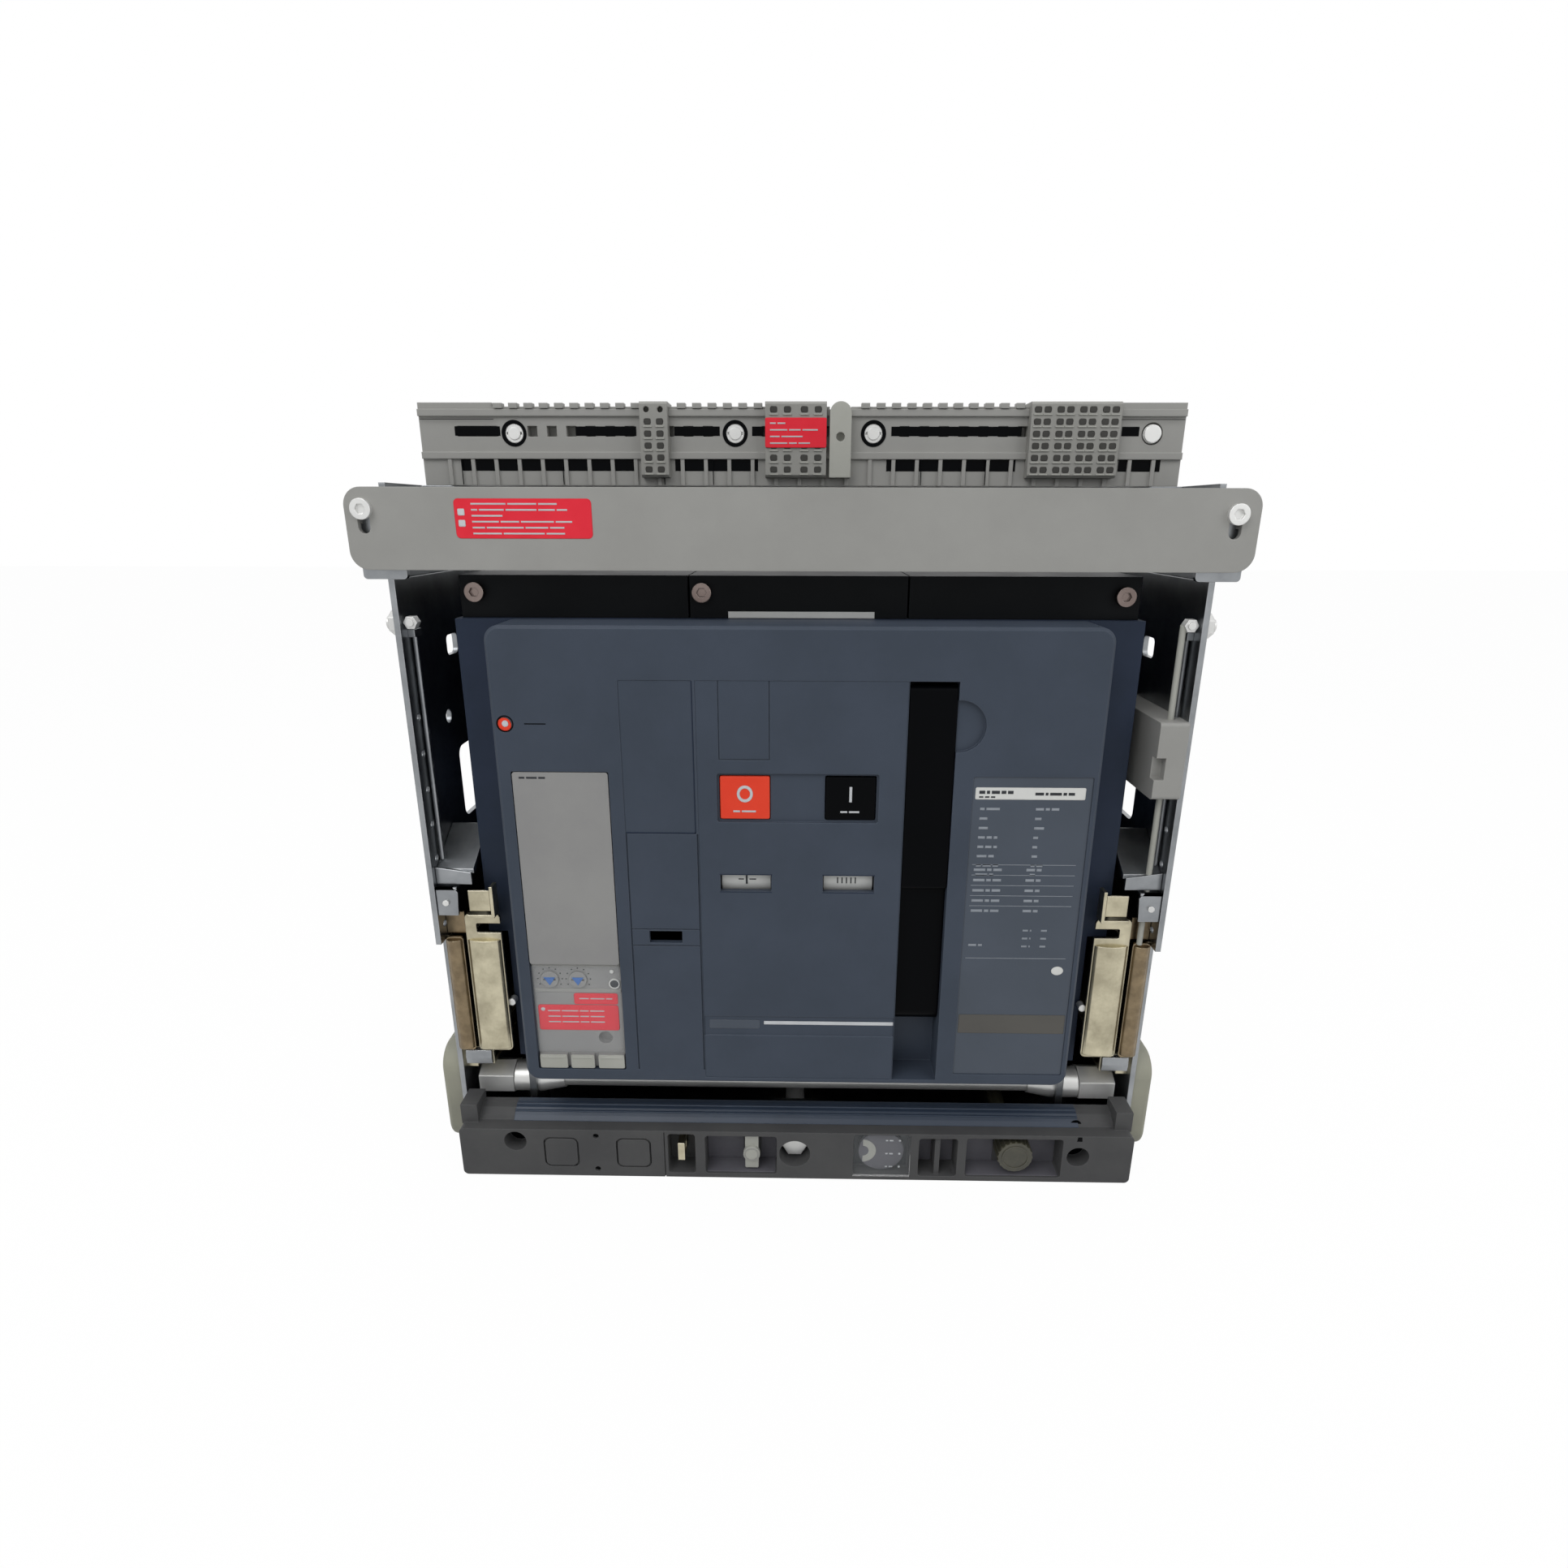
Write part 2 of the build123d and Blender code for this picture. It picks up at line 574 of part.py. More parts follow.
def terminal_shield():
    """Bar across the front with a rolled top edge and keyholes."""
    half = WIDTH / 2
    seat = SHIELD_FACE + 5.5
    bar = panel(-half, half, SHIELD_FACE, SHIELD_FACE + SHIELD_T, SHIELD_Z0, SHIELD_Z1, 9)
    roll = (seat - SHIELD_FACE) / 2
    bar += rod_x(-half + 9, half - 9, SHIELD_FACE + roll, SHIELD_Z1 - roll, roll)
    bar += span(-half + 9, half - 9, SHIELD_FACE + 1, seat, SHIELD_Z0, SHIELD_Z0 + 2)
    for x, z in SHIELD_SCREWS:
        bar += rod_y(x, SHIELD_FACE + 1, seat, z - 1, 6.5)
        bar -= rod_y(x, SHIELD_FACE - 1, seat + 1, z, SCREW_SHANK_R)
        bar -= panel(x - 3, x + 3, SHIELD_FACE - 1, seat + 1, z - 11.5, z, 2.9)
    return bar


def terminal_carrier():
    """Moulded carrier of the auxiliary terminals."""
    body = span(-CARRIER_HALF, CARRIER_HALF, CARRIER_FACE, CARRIER_BACK, CARRIER_Z0, CARRIER_TOP)
    body -= span(-CARRIER_HALF + 16, CARRIER_HALF - 16, CARRIER_FACE + 15, CARRIER_BACK - 5, CARRIER_Z0 - 1,
                 CARRIER_TOP - 5)
    for side in (-1, 1):
        x = side * (CARRIER_HALF - END_PAD_W / 2)
        body += span(x - END_PAD_W / 2, x + END_PAD_W / 2, CARRIER_FACE, CARRIER_BACK, CARRIER_TOP - 3, HEIGHT)
    for z in (CARRIER_Z0 + 15, CARRIER_TOP - 3):
        body += span(-CARRIER_HALF, CARRIER_HALF, CARRIER_FACE - 1.5, CARRIER_FACE + 1, z - 1.7, z + 1.7)
    first = -CARRIER_HALF + 14.5
    for index in range(int(-2 * first / RIB_PITCH + 0.5) + 1):
        x = first + RIB_PITCH * index
        body += span(x - 1, x + 1, CARRIER_FACE - 1.2, CARRIER_FACE + 1, CARRIER_Z0, CARRIER_Z0 + 13.5)
    slot_z0 = SCREW_LINE_Z - 1.6
    slot_z1 = SCREW_LINE_Z + 3.6
    first = -CARRIER_HALF + 59.6
    for index in range(int((CARRIER_HALF - 42.5 - first) / COMB_PITCH) + 1):
        x = first + COMB_PITCH * index
        if min(abs(x - s) for s in CARRIER_SCREWS) > 9:
            body -= span(x - 2.6, x + 2.6, CARRIER_FACE - 2, CARRIER_FACE + 6, slot_z0, slot_z1)
    body -= panel(-CARRIER_HALF + 18.5, -CARRIER_HALF + 42.5, CARRIER_FACE - 2, CARRIER_FACE + 6, slot_z0, slot_z1, 2)
    for x in CARRIER_SCREWS:
        body -= rod_y(x, CARRIER_FACE - 3, CARRIER_FACE + 4, SCREW_LINE_Z, 5.5)
        body -= rod_y(x, CARRIER_FACE, CARRIER_FACE + 12, SCREW_LINE_Z, SCREW_SHANK_R)
    for x0, x1 in (BLOCK_LEFT, BLOCK_CENTRE, END_STOP, BLOCK_RIGHT):
        body -= span(x0, x1, BLOCK_FACE - 1, BLOCK_BACK, BLOCK_Z0, HEIGHT + 1)
    return body


def terminal_block(x0, x1, columns):
    """Stack of auxiliary terminals with rows of wire entries."""
    block = span(x0, x1, BLOCK_FACE, BLOCK_BACK, BLOCK_Z0, HEIGHT)
    block = chamfer(block.edges().filter_by(Axis.X).group_by(Axis.Y)[0], 1.2)
    pitch_x = (x1 - x0) / columns
    pitch_z = (HEIGHT - BLOCK_Z0 - 2) / HOLE_ROWS
    for column in range(columns):
        for row in range(HOLE_ROWS):
            x = x0 + pitch_x * (column + 0.5)
            z = BLOCK_Z0 + 1 + pitch_z * (row + 0.5)
            block -= rod_y(x, BLOCK_FACE - 1, BLOCK_FACE + 5, z, WIRE_HOLE_R)
    return block


def end_stop():
    """Clamp at the end of the centre block, round on top."""
    x0, x1 = END_STOP
    r = (x1 - x0) / 2
    body = span(x0, x1, BLOCK_FACE, BLOCK_BACK, BLOCK_Z0, HEIGHT - r) + rod_y(
        (x0 + x1) / 2, BLOCK_FACE, BLOCK_BACK, HEIGHT - r, r)
    return body - rod_y((x0 + x1) / 2, BLOCK_FACE - 1, BLOCK_FACE + 4, BLOCK_Z0 + 20, 2.2)


def chassis_fasteners():
    """Screws of bar and carrier, and hexagon bolts of the side plates."""
    found = []
    seat = SHIELD_FACE + 5.5
    for x, z in SHIELD_SCREWS:
        head = rod_y(x, SHIELD_FACE - 2.5, SHIELD_FACE, z, SCREW_HEAD_R)
        head -= hex_y(x, SHIELD_FACE - 3, SHIELD_FACE - 1, z, 2.6)
        found.append(head + rod_y(x, SHIELD_FACE, seat, z, SCREW_SHANK_R))
    for x in CARRIER_SCREWS:
        head = rod_y(x, CARRIER_FACE + 0.5, CARRIER_FACE + 4, SCREW_LINE_Z, SCREW_HEAD_R - 0.3)
        head -= span(x - 4, x + 4, CARRIER_FACE, CARRIER_FACE + 1.6, SCREW_LINE_Z - 0.6, SCREW_LINE_Z + 0.6)
        found.append(head + rod_y(x, CARRIER_FACE + 4, CARRIER_FACE + 12, SCREW_LINE_Z, SCREW_SHANK_R))
    for side in (-1, 1):
        for y, z in ((PLATE_FRONT + 12, PLATE_TOP - 23), (REAR_BASE_BACK - 25, PLATE_TOP - 23), (REAR_BASE_BACK - 25, 90)):
            bolt = hex_x(OUT_X, OUT_X + 6, y, z, 6.5) + rod_x(OUT_X, OUT_X + 8, y, z, 3.5)
            found.append(bolt if side > 0 else flip(bolt))
    return found


def foot_cover():
    """Left moulded cap outside the plate."""
    cap = cheek(-OUT_X - 11.6, -OUT_X, LOWER_FRONT + 1, LOWER_FRONT + 38, 3, 70, 14)
    return fillet(cap.faces().sort_by(Axis.X)[0].edges(), 3)


def interlock_housing():
    """Moulded box on the right plate with a stepped front."""
    box = cheek(LOCK_BOX_X, IN_X, PLATE_FRONT - 2.5, LOCK_BOX_Y1, LOCK_BOX_Z0, LOCK_BOX_Z1, 2)
    box -= span(LOCK_BOX_X - 1, ROD_X - 3, PLATE_FRONT - 3, PLATE_FRONT + 3, LOCK_BOX_Z0 + 11, LOCK_BOX_Z0 + 23)
    return box - rod_z(ROD_X, ROD_Y, LOCK_BOX_Z0 - 1, LOCK_BOX_Z1 + 1, ROD_R)


def breaker_base():
    """Rear moulding with one open chamber for each pole."""
    body = span(-BODY_HALF, BODY_HALF, BODY_FRONT, BODY_BACK, BREAKER_Z, BODY_TOP)
    for x in POLES:
        body -= span(x - CHAMBER_W / 2, x + CHAMBER_W / 2, BODY_FRONT - 1, BODY_BACK - BODY_WALL,
                     BREAKER_Z + BODY_FLOOR, BODY_TOP + 1)
        for z in (LOWER_Z, UPPER_Z):
            body -= span(x - BLADE_W / 2, x + BLADE_W / 2, BODY_BACK - 10, BODY_BACK + 1,
                         z - BLADE_T / 2, z + BLADE_T / 2)
    return body - rod_x(-BODY_HALF + 4, BODY_HALF - 4, ARM_Y, ARM_Z, ARM_PIN_R)


def breaker_side_plate():
    """Left plated side piece: front flange, latch ear, web and bosses."""
    flange = panel(-BREAKER_FLANGE_X1, -BREAKER_FLANGE_X0, FLANGE_FACE, FLANGE_FACE + FLANGE_T,
                   FLANGE_Z0, FLANGE_Z1 + 15, 3)
    web = span(-BREAKER_FLANGE_X1, -BREAKER_FLANGE_X1 + FLANGE_T, FLANGE_FACE + 1, WEB_BACK, FLANGE_Z0, FLANGE_Z1)
    flange -= panel(-BREAKER_FLANGE_X0 - 14, -BREAKER_FLANGE_X0 + 1, FLANGE_FACE - 1, FLANGE_FACE + 3,
                    FLANGE_Z1 + 3, FLANGE_Z1 + 9, 1)
    piece = flange + web
    for y in (10, 50):
        piece += rod_x(-BREAKER_FLANGE_X1 + 1, -BODY_HALF, y, 100, 6)
    return piece


def front_housing():
    """Dark shell behind the cover, wider above the waist."""
    outer = span(-WING_HALF, WING_HALF, HOUSING_FRONT, BODY_FRONT, WING_Z, HOUSING_TOP)
    outer += span(-WAIST_HALF, WAIST_HALF, HOUSING_FRONT, BODY_FRONT, BREAKER_Z, WING_Z)
    t = HOUSING_T
    inner = span(-WING_HALF + t, WING_HALF - t, HOUSING_FRONT + t, BODY_FRONT + 1, WING_Z + t, HOUSING_TOP - t)
    inner += span(-WAIST_HALF + t, WAIST_HALF - t, HOUSING_FRONT + t, BODY_FRONT + 1, BREAKER_Z + t, WING_Z + t)
    mouth = panel(-COVER_HALF + 6, COVER_HALF - 6, HOUSING_FRONT - 1, HOUSING_FRONT + t + 1,
                  COVER_Z0 + 6, HOUSING_TOP - 6, 4)
    return outer - inner - mouth


def front_cover():
    """Front shell with the slot of the handle and the windows of what it frames."""
    cover = panel(-COVER_HALF, COVER_HALF, FRONT, HOUSING_FRONT, COVER_Z0, HOUSING_TOP, COVER_R)
    cover = chamfer(cover.faces().sort_by(Axis.Y)[0].edges(), 1.5)
    back = FRONT + COVER_T
    cover -= panel(-COVER_HALF + COVER_T, COVER_HALF - COVER_T, back, HOUSING_FRONT + 1,
                   COVER_Z0 + COVER_T, HOUSING_TOP - COVER_T, COVER_R - COVER_T)
    for x in (SLOT_X0 - SLOT_WALL, SLOT_X1):
        wall = span(x, x + SLOT_WALL, back, HOUSING_FRONT, COVER_Z0 + 1, HOUSING_TOP - 1)
        cover += wall - rod_x(x - 1, x + SLOT_WALL + 1, HANDLE_Y, HANDLE_Z, HANDLE_PIN_R)
    cover += span(SLOT_X0, SLOT_X1, HOUSING_FRONT - 8, HOUSING_FRONT, COVER_Z0 + 1, LEDGE_Z)
    cover -= span(SLOT_X0, SLOT_X1, FRONT - 1, back + 0.1, SLOT_Z0, PANEL_Z1)
    cover -= span(PANEL_X0, PANEL_X1, FRONT - 1, back, PANEL_Z0 + 2.7, PANEL_Z1)
    cover -= panel(TRIP_X0, TRIP_X1, FRONT - 1, back + 1, TRIP_Z0, TRIP_Z1, 1)
    cover -= panel(LABEL_X0, LABEL_X1, FRONT - 1, FRONT + LABEL_DEPTH, LABEL_Z0, LABEL_Z1, 1)
    cover -= panel(LOCK_X0, LOCK_X1, FRONT - 1, FRONT + 1.5, LOCK_Z0, PANEL_Z1, 1)
    cover -= span(COUNTER_X0, COUNTER_X1, FRONT - 1, back + 1, COUNTER_Z0, COUNTER_Z1)
    cover -= rod_y(RESET_X, FRONT - 1, FRONT + RESET_LENGTH + 3, RESET_Z, RESET_R + GAP)
    cover -= rod_y(SLOT_X1 + 1, FRONT - 1, FRONT + 2.5, PANEL_Z1 - 23, 13.6)
    for x in (LOCK_X0, PANEL_X0 - 1):
        cover -= span(x, x + 0.8, FRONT - 1, FRONT + 0.8, 76, LOCK_Z0)
    for z in (COUNTER_Z0 - 1.7, COUNTER_Z1 + 1.1):
        cover -= span(LOCK_X0, PANEL_X0, FRONT - 1, FRONT + 0.6, z - 0.3, z + 0.3)
    return cover


def centre_panel():
    """Panel with the push-button well, two flag windows and bearings for the flags."""
    face = FRONT + PANEL_SINK
    back = FRONT + COVER_T
    plate = span(PANEL_X0, PANEL_X1, face, back, PANEL_Z0 + 2.7, PANEL_Z1)
    well_x0 = OPEN_X - BUTTON_W / 2 - WELL_MARGIN
    well_x1 = CLOSE_X + BUTTON_W / 2 + WELL_MARGIN
    plate -= panel(well_x0, well_x1, face - 1, face + WELL_DEPTH, BUTTON_Z - BUTTON_H / 2 - WELL_MARGIN,
                   BUTTON_Z + BUTTON_H / 2 + WELL_MARGIN, 1.5)
    for x in (OPEN_X, CLOSE_X):
        plate -= panel(x - BUTTON_W / 2 - PUSH_GAP, x + BUTTON_W / 2 + PUSH_GAP, face - 1, back + 1,
                       BUTTON_Z - BUTTON_H / 2 - PUSH_GAP, BUTTON_Z + BUTTON_H / 2 + PUSH_GAP, 1)
        plate -= span(x - FLAG_W / 2, x + FLAG_W / 2, face - 1, back + 1, FLAG_Z - FLAG_H / 2, FLAG_Z + FLAG_H / 2)
    for x0, x1 in lug_spans():
        lug = span(x0, x1, back - 1, FLAG_Y + 5, FLAG_Z - 15, FLAG_Z - 10)
        lug += span(x0, x1, back - 0.5, FLAG_Y + 5, FLAG_Z - 10, FLAG_Z + 10)
        plate += lug - rod_x(x0 - 1, x1 + 1, FLAG_Y, FLAG_Z, STUB_R + FIT)
    plate -= span(PANEL_X0 - 1, PANEL_X1 + 1, face - 1, face + 0.5, 99.3, 111.7)
    plate -= span(-40.6, -40.0, face - 1, face + 0.5, PANEL_Z1 - 41, PANEL_Z1 + 1)
    plate -= span(-14.7, -14.1, face - 1, face + 0.5, PANEL_Z1 - 41, PANEL_Z1 + 1)
    plate -= span(-40.6, -14.1, face - 1, face + 0.5, PANEL_Z1 - 41.4, PANEL_Z1 - 40.8)
    return plate


def lug_spans():
    """X extents of the three flag bearings."""
    half = FLAG_W / 2
    return ((OPEN_X - half - 4, OPEN_X - half - 1), (OPEN_X + half + 1, CLOSE_X - half - 1),
            (CLOSE_X + half + 1, CLOSE_X + half + 4))


def flag_drum(x):
    """Indicator drum on two stubs."""
    half = FLAG_W / 2 - 0.5
    drum = rod_x(x - half, x + half, FLAG_Y, FLAG_Z, FLAG_R)
    drum -= span(x - half - 1, x + half + 1, FLAG_Y + 2, FLAG_Y + FLAG_R + 1, FLAG_Z - FLAG_R - 1, FLAG_Z + FLAG_R + 1)
    drum += rod_x(x - half - 4, x + half + 4, FLAG_Y, FLAG_Z, STUB_R)
    return drum


def push_button(x):
    """Rectangular button with a dished face and a stem."""
    y0 = FRONT + BUTTON_SINK
    cap = panel(x - BUTTON_W / 2, x + BUTTON_W / 2, y0, y0 + 12, BUTTON_Z - BUTTON_H / 2,
                BUTTON_Z + BUTTON_H / 2, 1)
    cap = chamfer(cap.faces().sort_by(Axis.Y)[0].edges(), 0.5)
    return cap + rod_y(x, y0 + 11, y0 + 30, BUTTON_Z, 4)


def charging_handle():
    """Long handle, thin at its hub and deep above the step."""
    x0 = SLOT_X0 + PUSH_GAP
    x1 = SLOT_X1 - PUSH_GAP
    back = HANDLE_Y + 4.5
    arm = span(x0, x1, HANDLE_Y - HANDLE_HUB_R, back, HANDLE_Z, HANDLE_STEP)
    arm += rod_x(x0, x1, HANDLE_Y, HANDLE_Z, HANDLE_HUB_R)
    grip = cheek(x0, x1, FRONT + 1, back, HANDLE_STEP - 4, HANDLE_TOP, 3)
    grip -= span(x0 + 2.5, x1 - 2.5, back - 8, back + 1, HANDLE_STEP + 6, HANDLE_TOP - 6)
    return arm + grip - rod_x(x0 - 1, x1 + 1, HANDLE_Y, HANDLE_Z, HANDLE_PIN_R + FIT)


def pivot_pins():
    """Pin of the charging handle and pin of the contact arms."""
    handle_pin = rod_x(SLOT_X0 - SLOT_WALL, SLOT_X1 + SLOT_WALL, HANDLE_Y, HANDLE_Z, HANDLE_PIN_R)
    arm_pin = rod_x(-BODY_HALF + 4, BODY_HALF - 4, ARM_Y, ARM_Z, ARM_PIN_R)
    return handle_pin, arm_pin


def trip_unit():
    """Protection unit with a dial bay, a lamp hole and three latch tabs."""
    back = FRONT + COVER_T
    body = span(TRIP_X0 + 0.5, TRIP_X1 - 0.5, FRONT + 2.9, back + 2, TRIP_Z0 + 0.4, TRIP_Z1 - 0.4)
    body += span(TRIP_X0 - 2, TRIP_X1 + 2, back, HOUSING_FRONT - 1, TRIP_Z0 - 1, TRIP_Z1 + 2)
    body += span(TRIP_X0 + 3, TRIP_X1 - 3, HOUSING_FRONT - 2, HOUSING_FRONT + 30, TRIP_Z0 + 3, TRIP_Z1 - 3)
    for x0, x1 in ((-147.8, -132), (-129.9, -116.3), (-113.9, -98.9)):
        body += span(x0, x1, FRONT + 0.9, back + 1, TRIP_Z0 + 0.6, 84.7)
    for x in DIAL_XS:
        body -= rod_y(x, FRONT, back + 1.4, DIAL_Z, DIAL_R + FIT)
    return body - rod_y(-109.5, FRONT, back + 3, 95, 4)


def trip_dial(x):
    """Setting dial with a screwdriver slot."""
    dial = rod_y(x, FRONT + 1.7, FRONT + COVER_T + 1, DIAL_Z, DIAL_R)
    return dial - span(x - 3.6, x + 3.6, FRONT + 1, FRONT + 2.6, DIAL_Z - 0.6, DIAL_Z + 0.6)


def trip_flap():
    """Clear flap over the settings, hinged at its lower edge."""
    plate = panel(TRIP_X0 + 0.8, TRIP_X1 - 0.8, FRONT + 0.2, FRONT + 1.4, 87, TRIP_SPLIT - 1, 1)
    return plate + rod_x(TRIP_X0 + 0.8, TRIP_X1 - 0.8, FRONT + 1.3, 87.4, 1)


def mechanism_frame():
    """Two steel cheeks, four bars between them and the two seats of the closing spring."""
    found = []
    for side in (-1, 1):
        x = side * (FRAME_HALF - FRAME_T / 2)
        plate = span(x - FRAME_T / 2, x + FRAME_T / 2, FRAME_FRONT, FRAME_BACK, BREAKER_Z + HOUSING_T,
                     HOUSING_TOP - HOUSING_T)
        plate -= rod_x(x - 3, x + 3, SHAFT2_Y, SHAFT2_Z, POLE_SHAFT_R + FIT)
        found.append(plate - rod_x(x - 3, x + 3, CAM_Y, CAM_Z, CAM_SHAFT_R + FIT))
    inside = FRAME_HALF - FRAME_T
    for y in (FRAME_FRONT + 10, FRAME_BACK - 12):
        for z in (BREAKER_Z + 25, HOUSING_TOP - 25):
            found.append(rod_x(-inside, inside, y, z, 5))
    for z in (SPRING_Z0 - 4, SPRING_Z1):
        found.append(span(-inside, inside, SPRING_Y - 16, SPRING_Y + 16, z, z + 4))
    return found


def closing_spring():
    """Compression spring drawn as close coils round its guide."""
    spring = rod_z(SPRING_X, SPRING_Y, SPRING_Z0, SPRING_Z1, SPRING_R - 1)
    pitch = (SPRING_Z1 - SPRING_Z0 - 2 * SPRING_WIRE_R) / (SPRING_COILS - 1)
    for index in range(SPRING_COILS):
        z = SPRING_Z0 + SPRING_WIRE_R + index * pitch
        spring += Pos(SPRING_X, SPRING_Y, z) * Torus(SPRING_R, SPRING_WIRE_R)
    return spring


def pole_shaft():
    """Shaft that drives the three contact arms, with a crank at each pole."""
    shaft = rod_x(-150, 150, SHAFT2_Y, SHAFT2_Z, POLE_SHAFT_R)
    for x in POLES:
        crank = cheek(x - 5, x + 5, SHAFT2_Y - 10, SHAFT2_Y + 26, SHAFT2_Z - 10, SHAFT2_Z + 10, 8)
        shaft += crank
    return shaft


def contact_arm(x):
    """Moving contact arm of one pole with its pad."""
    half = ARM_W / 2
    front = ARM_Y - ARM_T / 2
    arm = cheek(x - half, x + half, front, ARM_Y + ARM_T / 2, ARM_Z - 10, UPPER_Z + 5, 4)
    arm += span(x - half + 5, x + half - 5, ARM_Y + 2, PAD_Y - GAP, UPPER_Z - 9, UPPER_Z + 3)
    return arm - rod_x(x - half - 1, x + half + 1, ARM_Y, ARM_Z, ARM_PIN_R + FIT)


def charging_cam():
    """Camshaft that loads the closing spring, with its ratchet wheel."""
    shaft = rod_x(-FRAME_HALF - 5, FRAME_HALF + 5, CAM_Y, CAM_Z, CAM_SHAFT_R)
    cam = rod_x(-10, 4, CAM_Y, CAM_Z + 5, 17)
    wheel = rod_x(-42, -36, CAM_Y, CAM_Z, 20)
    teeth = 18
    for index in range(teeth):
        tooth = Pos(-39, 0, 0) * Box(7, 3, 3)
        tooth = Pos(0, CAM_Y, CAM_Z) * Rot(index * 360 / teeth, 0, 0) * Pos(0, 20, 0) * Rot(45, 0, 0) * tooth
        wheel -= tooth
    return shaft + cam + wheel


def blade(x, z):
    """Plug-in blade with its inner contact."""
    inner = PAD_Y if z == UPPER_Z else ARM_Y + ARM_T / 2 + 4
    bar = span(x - BLADE_W / 2, x + BLADE_W / 2, inner + 6, BLADE_TIP, z - BLADE_T / 2, z + BLADE_T / 2)
    if z == UPPER_Z:
        bar += span(x - ARM_W / 2, x + ARM_W / 2, PAD_Y, inner + 8, z - 10, z + 6)
    return bar


def arc_chute(x, cap_x0, cap_x1):
    """Arc chute: grooved cap, box open below and steel splitters."""
    cap = span(cap_x0, cap_x1, CAP_FRONT, BODY_BACK, HOUSING_TOP, CHUTE_TOP)
    for index in range(4):
        y = BODY_FRONT + 14 + 20 * index
        cap -= span(x - 38, x + 38, y, y + 8, CHUTE_TOP - 3, CHUTE_TOP + 1)
    box = span(x - CHUTE_HALF, x + CHUTE_HALF, BODY_FRONT + 2, BODY_BACK - 2, BODY_TOP, HOUSING_TOP)
    inner = CHUTE_HALF - CHUTE_WALL
    box -= span(x - inner, x + inner, BODY_FRONT + 5, BODY_BACK - 5, BODY_TOP - 1, HOUSING_TOP + 1)
    found = [cap, box]
    for index in range(SPLITTERS):
        y = BODY_FRONT + 18 + 13.5 * index
        found.append(span(x - inner, x + inner, y, y + SPLITTER_T, BODY_TOP + 12, HOUSING_TOP))
    return found


def arc_chutes():
    """One chute for each pole."""
    seam = POLE_PITCH / 2
    joint = CAP_JOINT / 2
    edges = ((-CAP_OUT, -seam - joint), (-seam + joint, seam - joint), (seam + joint, CAP_OUT))
    return [piece for x, (x0, x1) in zip(POLES, edges) for piece in arc_chute(x, x0, x1)]


def chute_bolts():
    """Socket-head bolts on the front of the chutes."""
    found = []
    for x, z in ((-CAP_OUT + 8.5, CHUTE_TOP - 8.6), (-50.5, CHUTE_TOP - 8.6), (CAP_OUT - 8.5, CHUTE_TOP - 10)):
        head = rod_y(x, CAP_FRONT - 4, CAP_FRONT, z, 5)
        found.append(head - hex_y(x, CAP_FRONT - 5, CAP_FRONT - 2, z, 2.6))
    return found


def six(maker):
    """One piece at each pole, low and high."""
    return [maker(x, z) for x in POLES for z in (LOWER_Z, UPPER_Z)]


os.makedirs("parts", exist_ok=True)

# Fixed chassis
save("side_plate_left", side_plate())
save("side_plate_right", flip(side_plate()))
save("base_plate", base_plate())
save("rear_base", rear_base())
save("rear_terminals", *six(rear_terminal))
save("contact_clusters", *six(contact_cluster))
save("shutter_guides", shutter_guide(), flip(shutter_guide()))
save("front_flanges", chassis_flange(), flip(chassis_flange()))
save("rail_guides", rail_guide(), flip(rail_guide()))
save("terminal_brackets", terminal_bracket(), flip(terminal_bracket()))
save("terminal_carrier", terminal_carrier())
save("terminal_block_left", terminal_block(*BLOCK_LEFT, 2))
save("terminal_block_centre", terminal_block(*BLOCK_CENTRE, 4))
save("terminal_block_right", terminal_block(*BLOCK_RIGHT, 8))
save("end_stop", end_stop())
save("terminal_shield", terminal_shield())
save("chassis_fasteners", *chassis_fasteners())
save("front_skirt", front_skirt())
save("position_window", span(WINDOW_X0, WINDOW_X1, FRONT, FRONT + WINDOW_T, WINDOW_Z0, WINDOW_Z1))
save("shaft_bushes", shaft_bush(), flip(shaft_bush()))
save("foot_covers", foot_cover(), flip(foot_cover()))
save("interlock_housing", interlock_housing())
save("interlock_rod", rod_z(ROD_X, ROD_Y, FLANGE_Z1, ROD_TOP, ROD_R))

# Racking gear, rails and shutters
save("rail_left", rail())
save("rail_right", flip(rail()))
save("racking_screw", racking_screw())
save("cross_shaft", cross_shaft())
save("racking_carriage", racking_carriage())
save("position_disc", position_disc())
save("shutter_upper", shutter(UPPER_Z + SHUTTER_OPEN))
save("shutter_lower", shutter(LOWER_Z - SHUTTER_OPEN - SHUTTER_H))
save("racking_crank", racking_crank())
save("release_button", release_button())
save("padlock_tab", padlock_tab())

# Breaker
save("breaker_base", breaker_base())
save("breaker_side_plates", breaker_side_plate(), flip(breaker_side_plate()))
save("front_housing", front_housing())
save("front_cover", front_cover())
save("centre_panel", centre_panel())
save("lock_plate", panel(LOCK_X0, LOCK_X1, FRONT + 0.3, FRONT + 1.5, LOCK_Z0, PANEL_Z1, 1))
save("rating_plate", panel(LABEL_X0, LABEL_X1, FRONT + LABEL_DEPTH - LABEL_T, FRONT + LABEL_DEPTH,
                           LABEL_Z0, LABEL_Z1, 1))
save("mechanism_frame", *mechanism_frame(), *pivot_pins())
save("closing_spring", closing_spring())
save("main_blades", *six(blade))
save("arc_chutes", *arc_chutes())
save("chute_bolts", *chute_bolts())
save("trip_unit", trip_unit())
save("trip_cover", panel(TRIP_X0 + 0.5, TRIP_X1 - 0.5, FRONT + 0.2, FRONT + 2.9, TRIP_SPLIT, TRIP_Z1 - 0.4, 1.5))

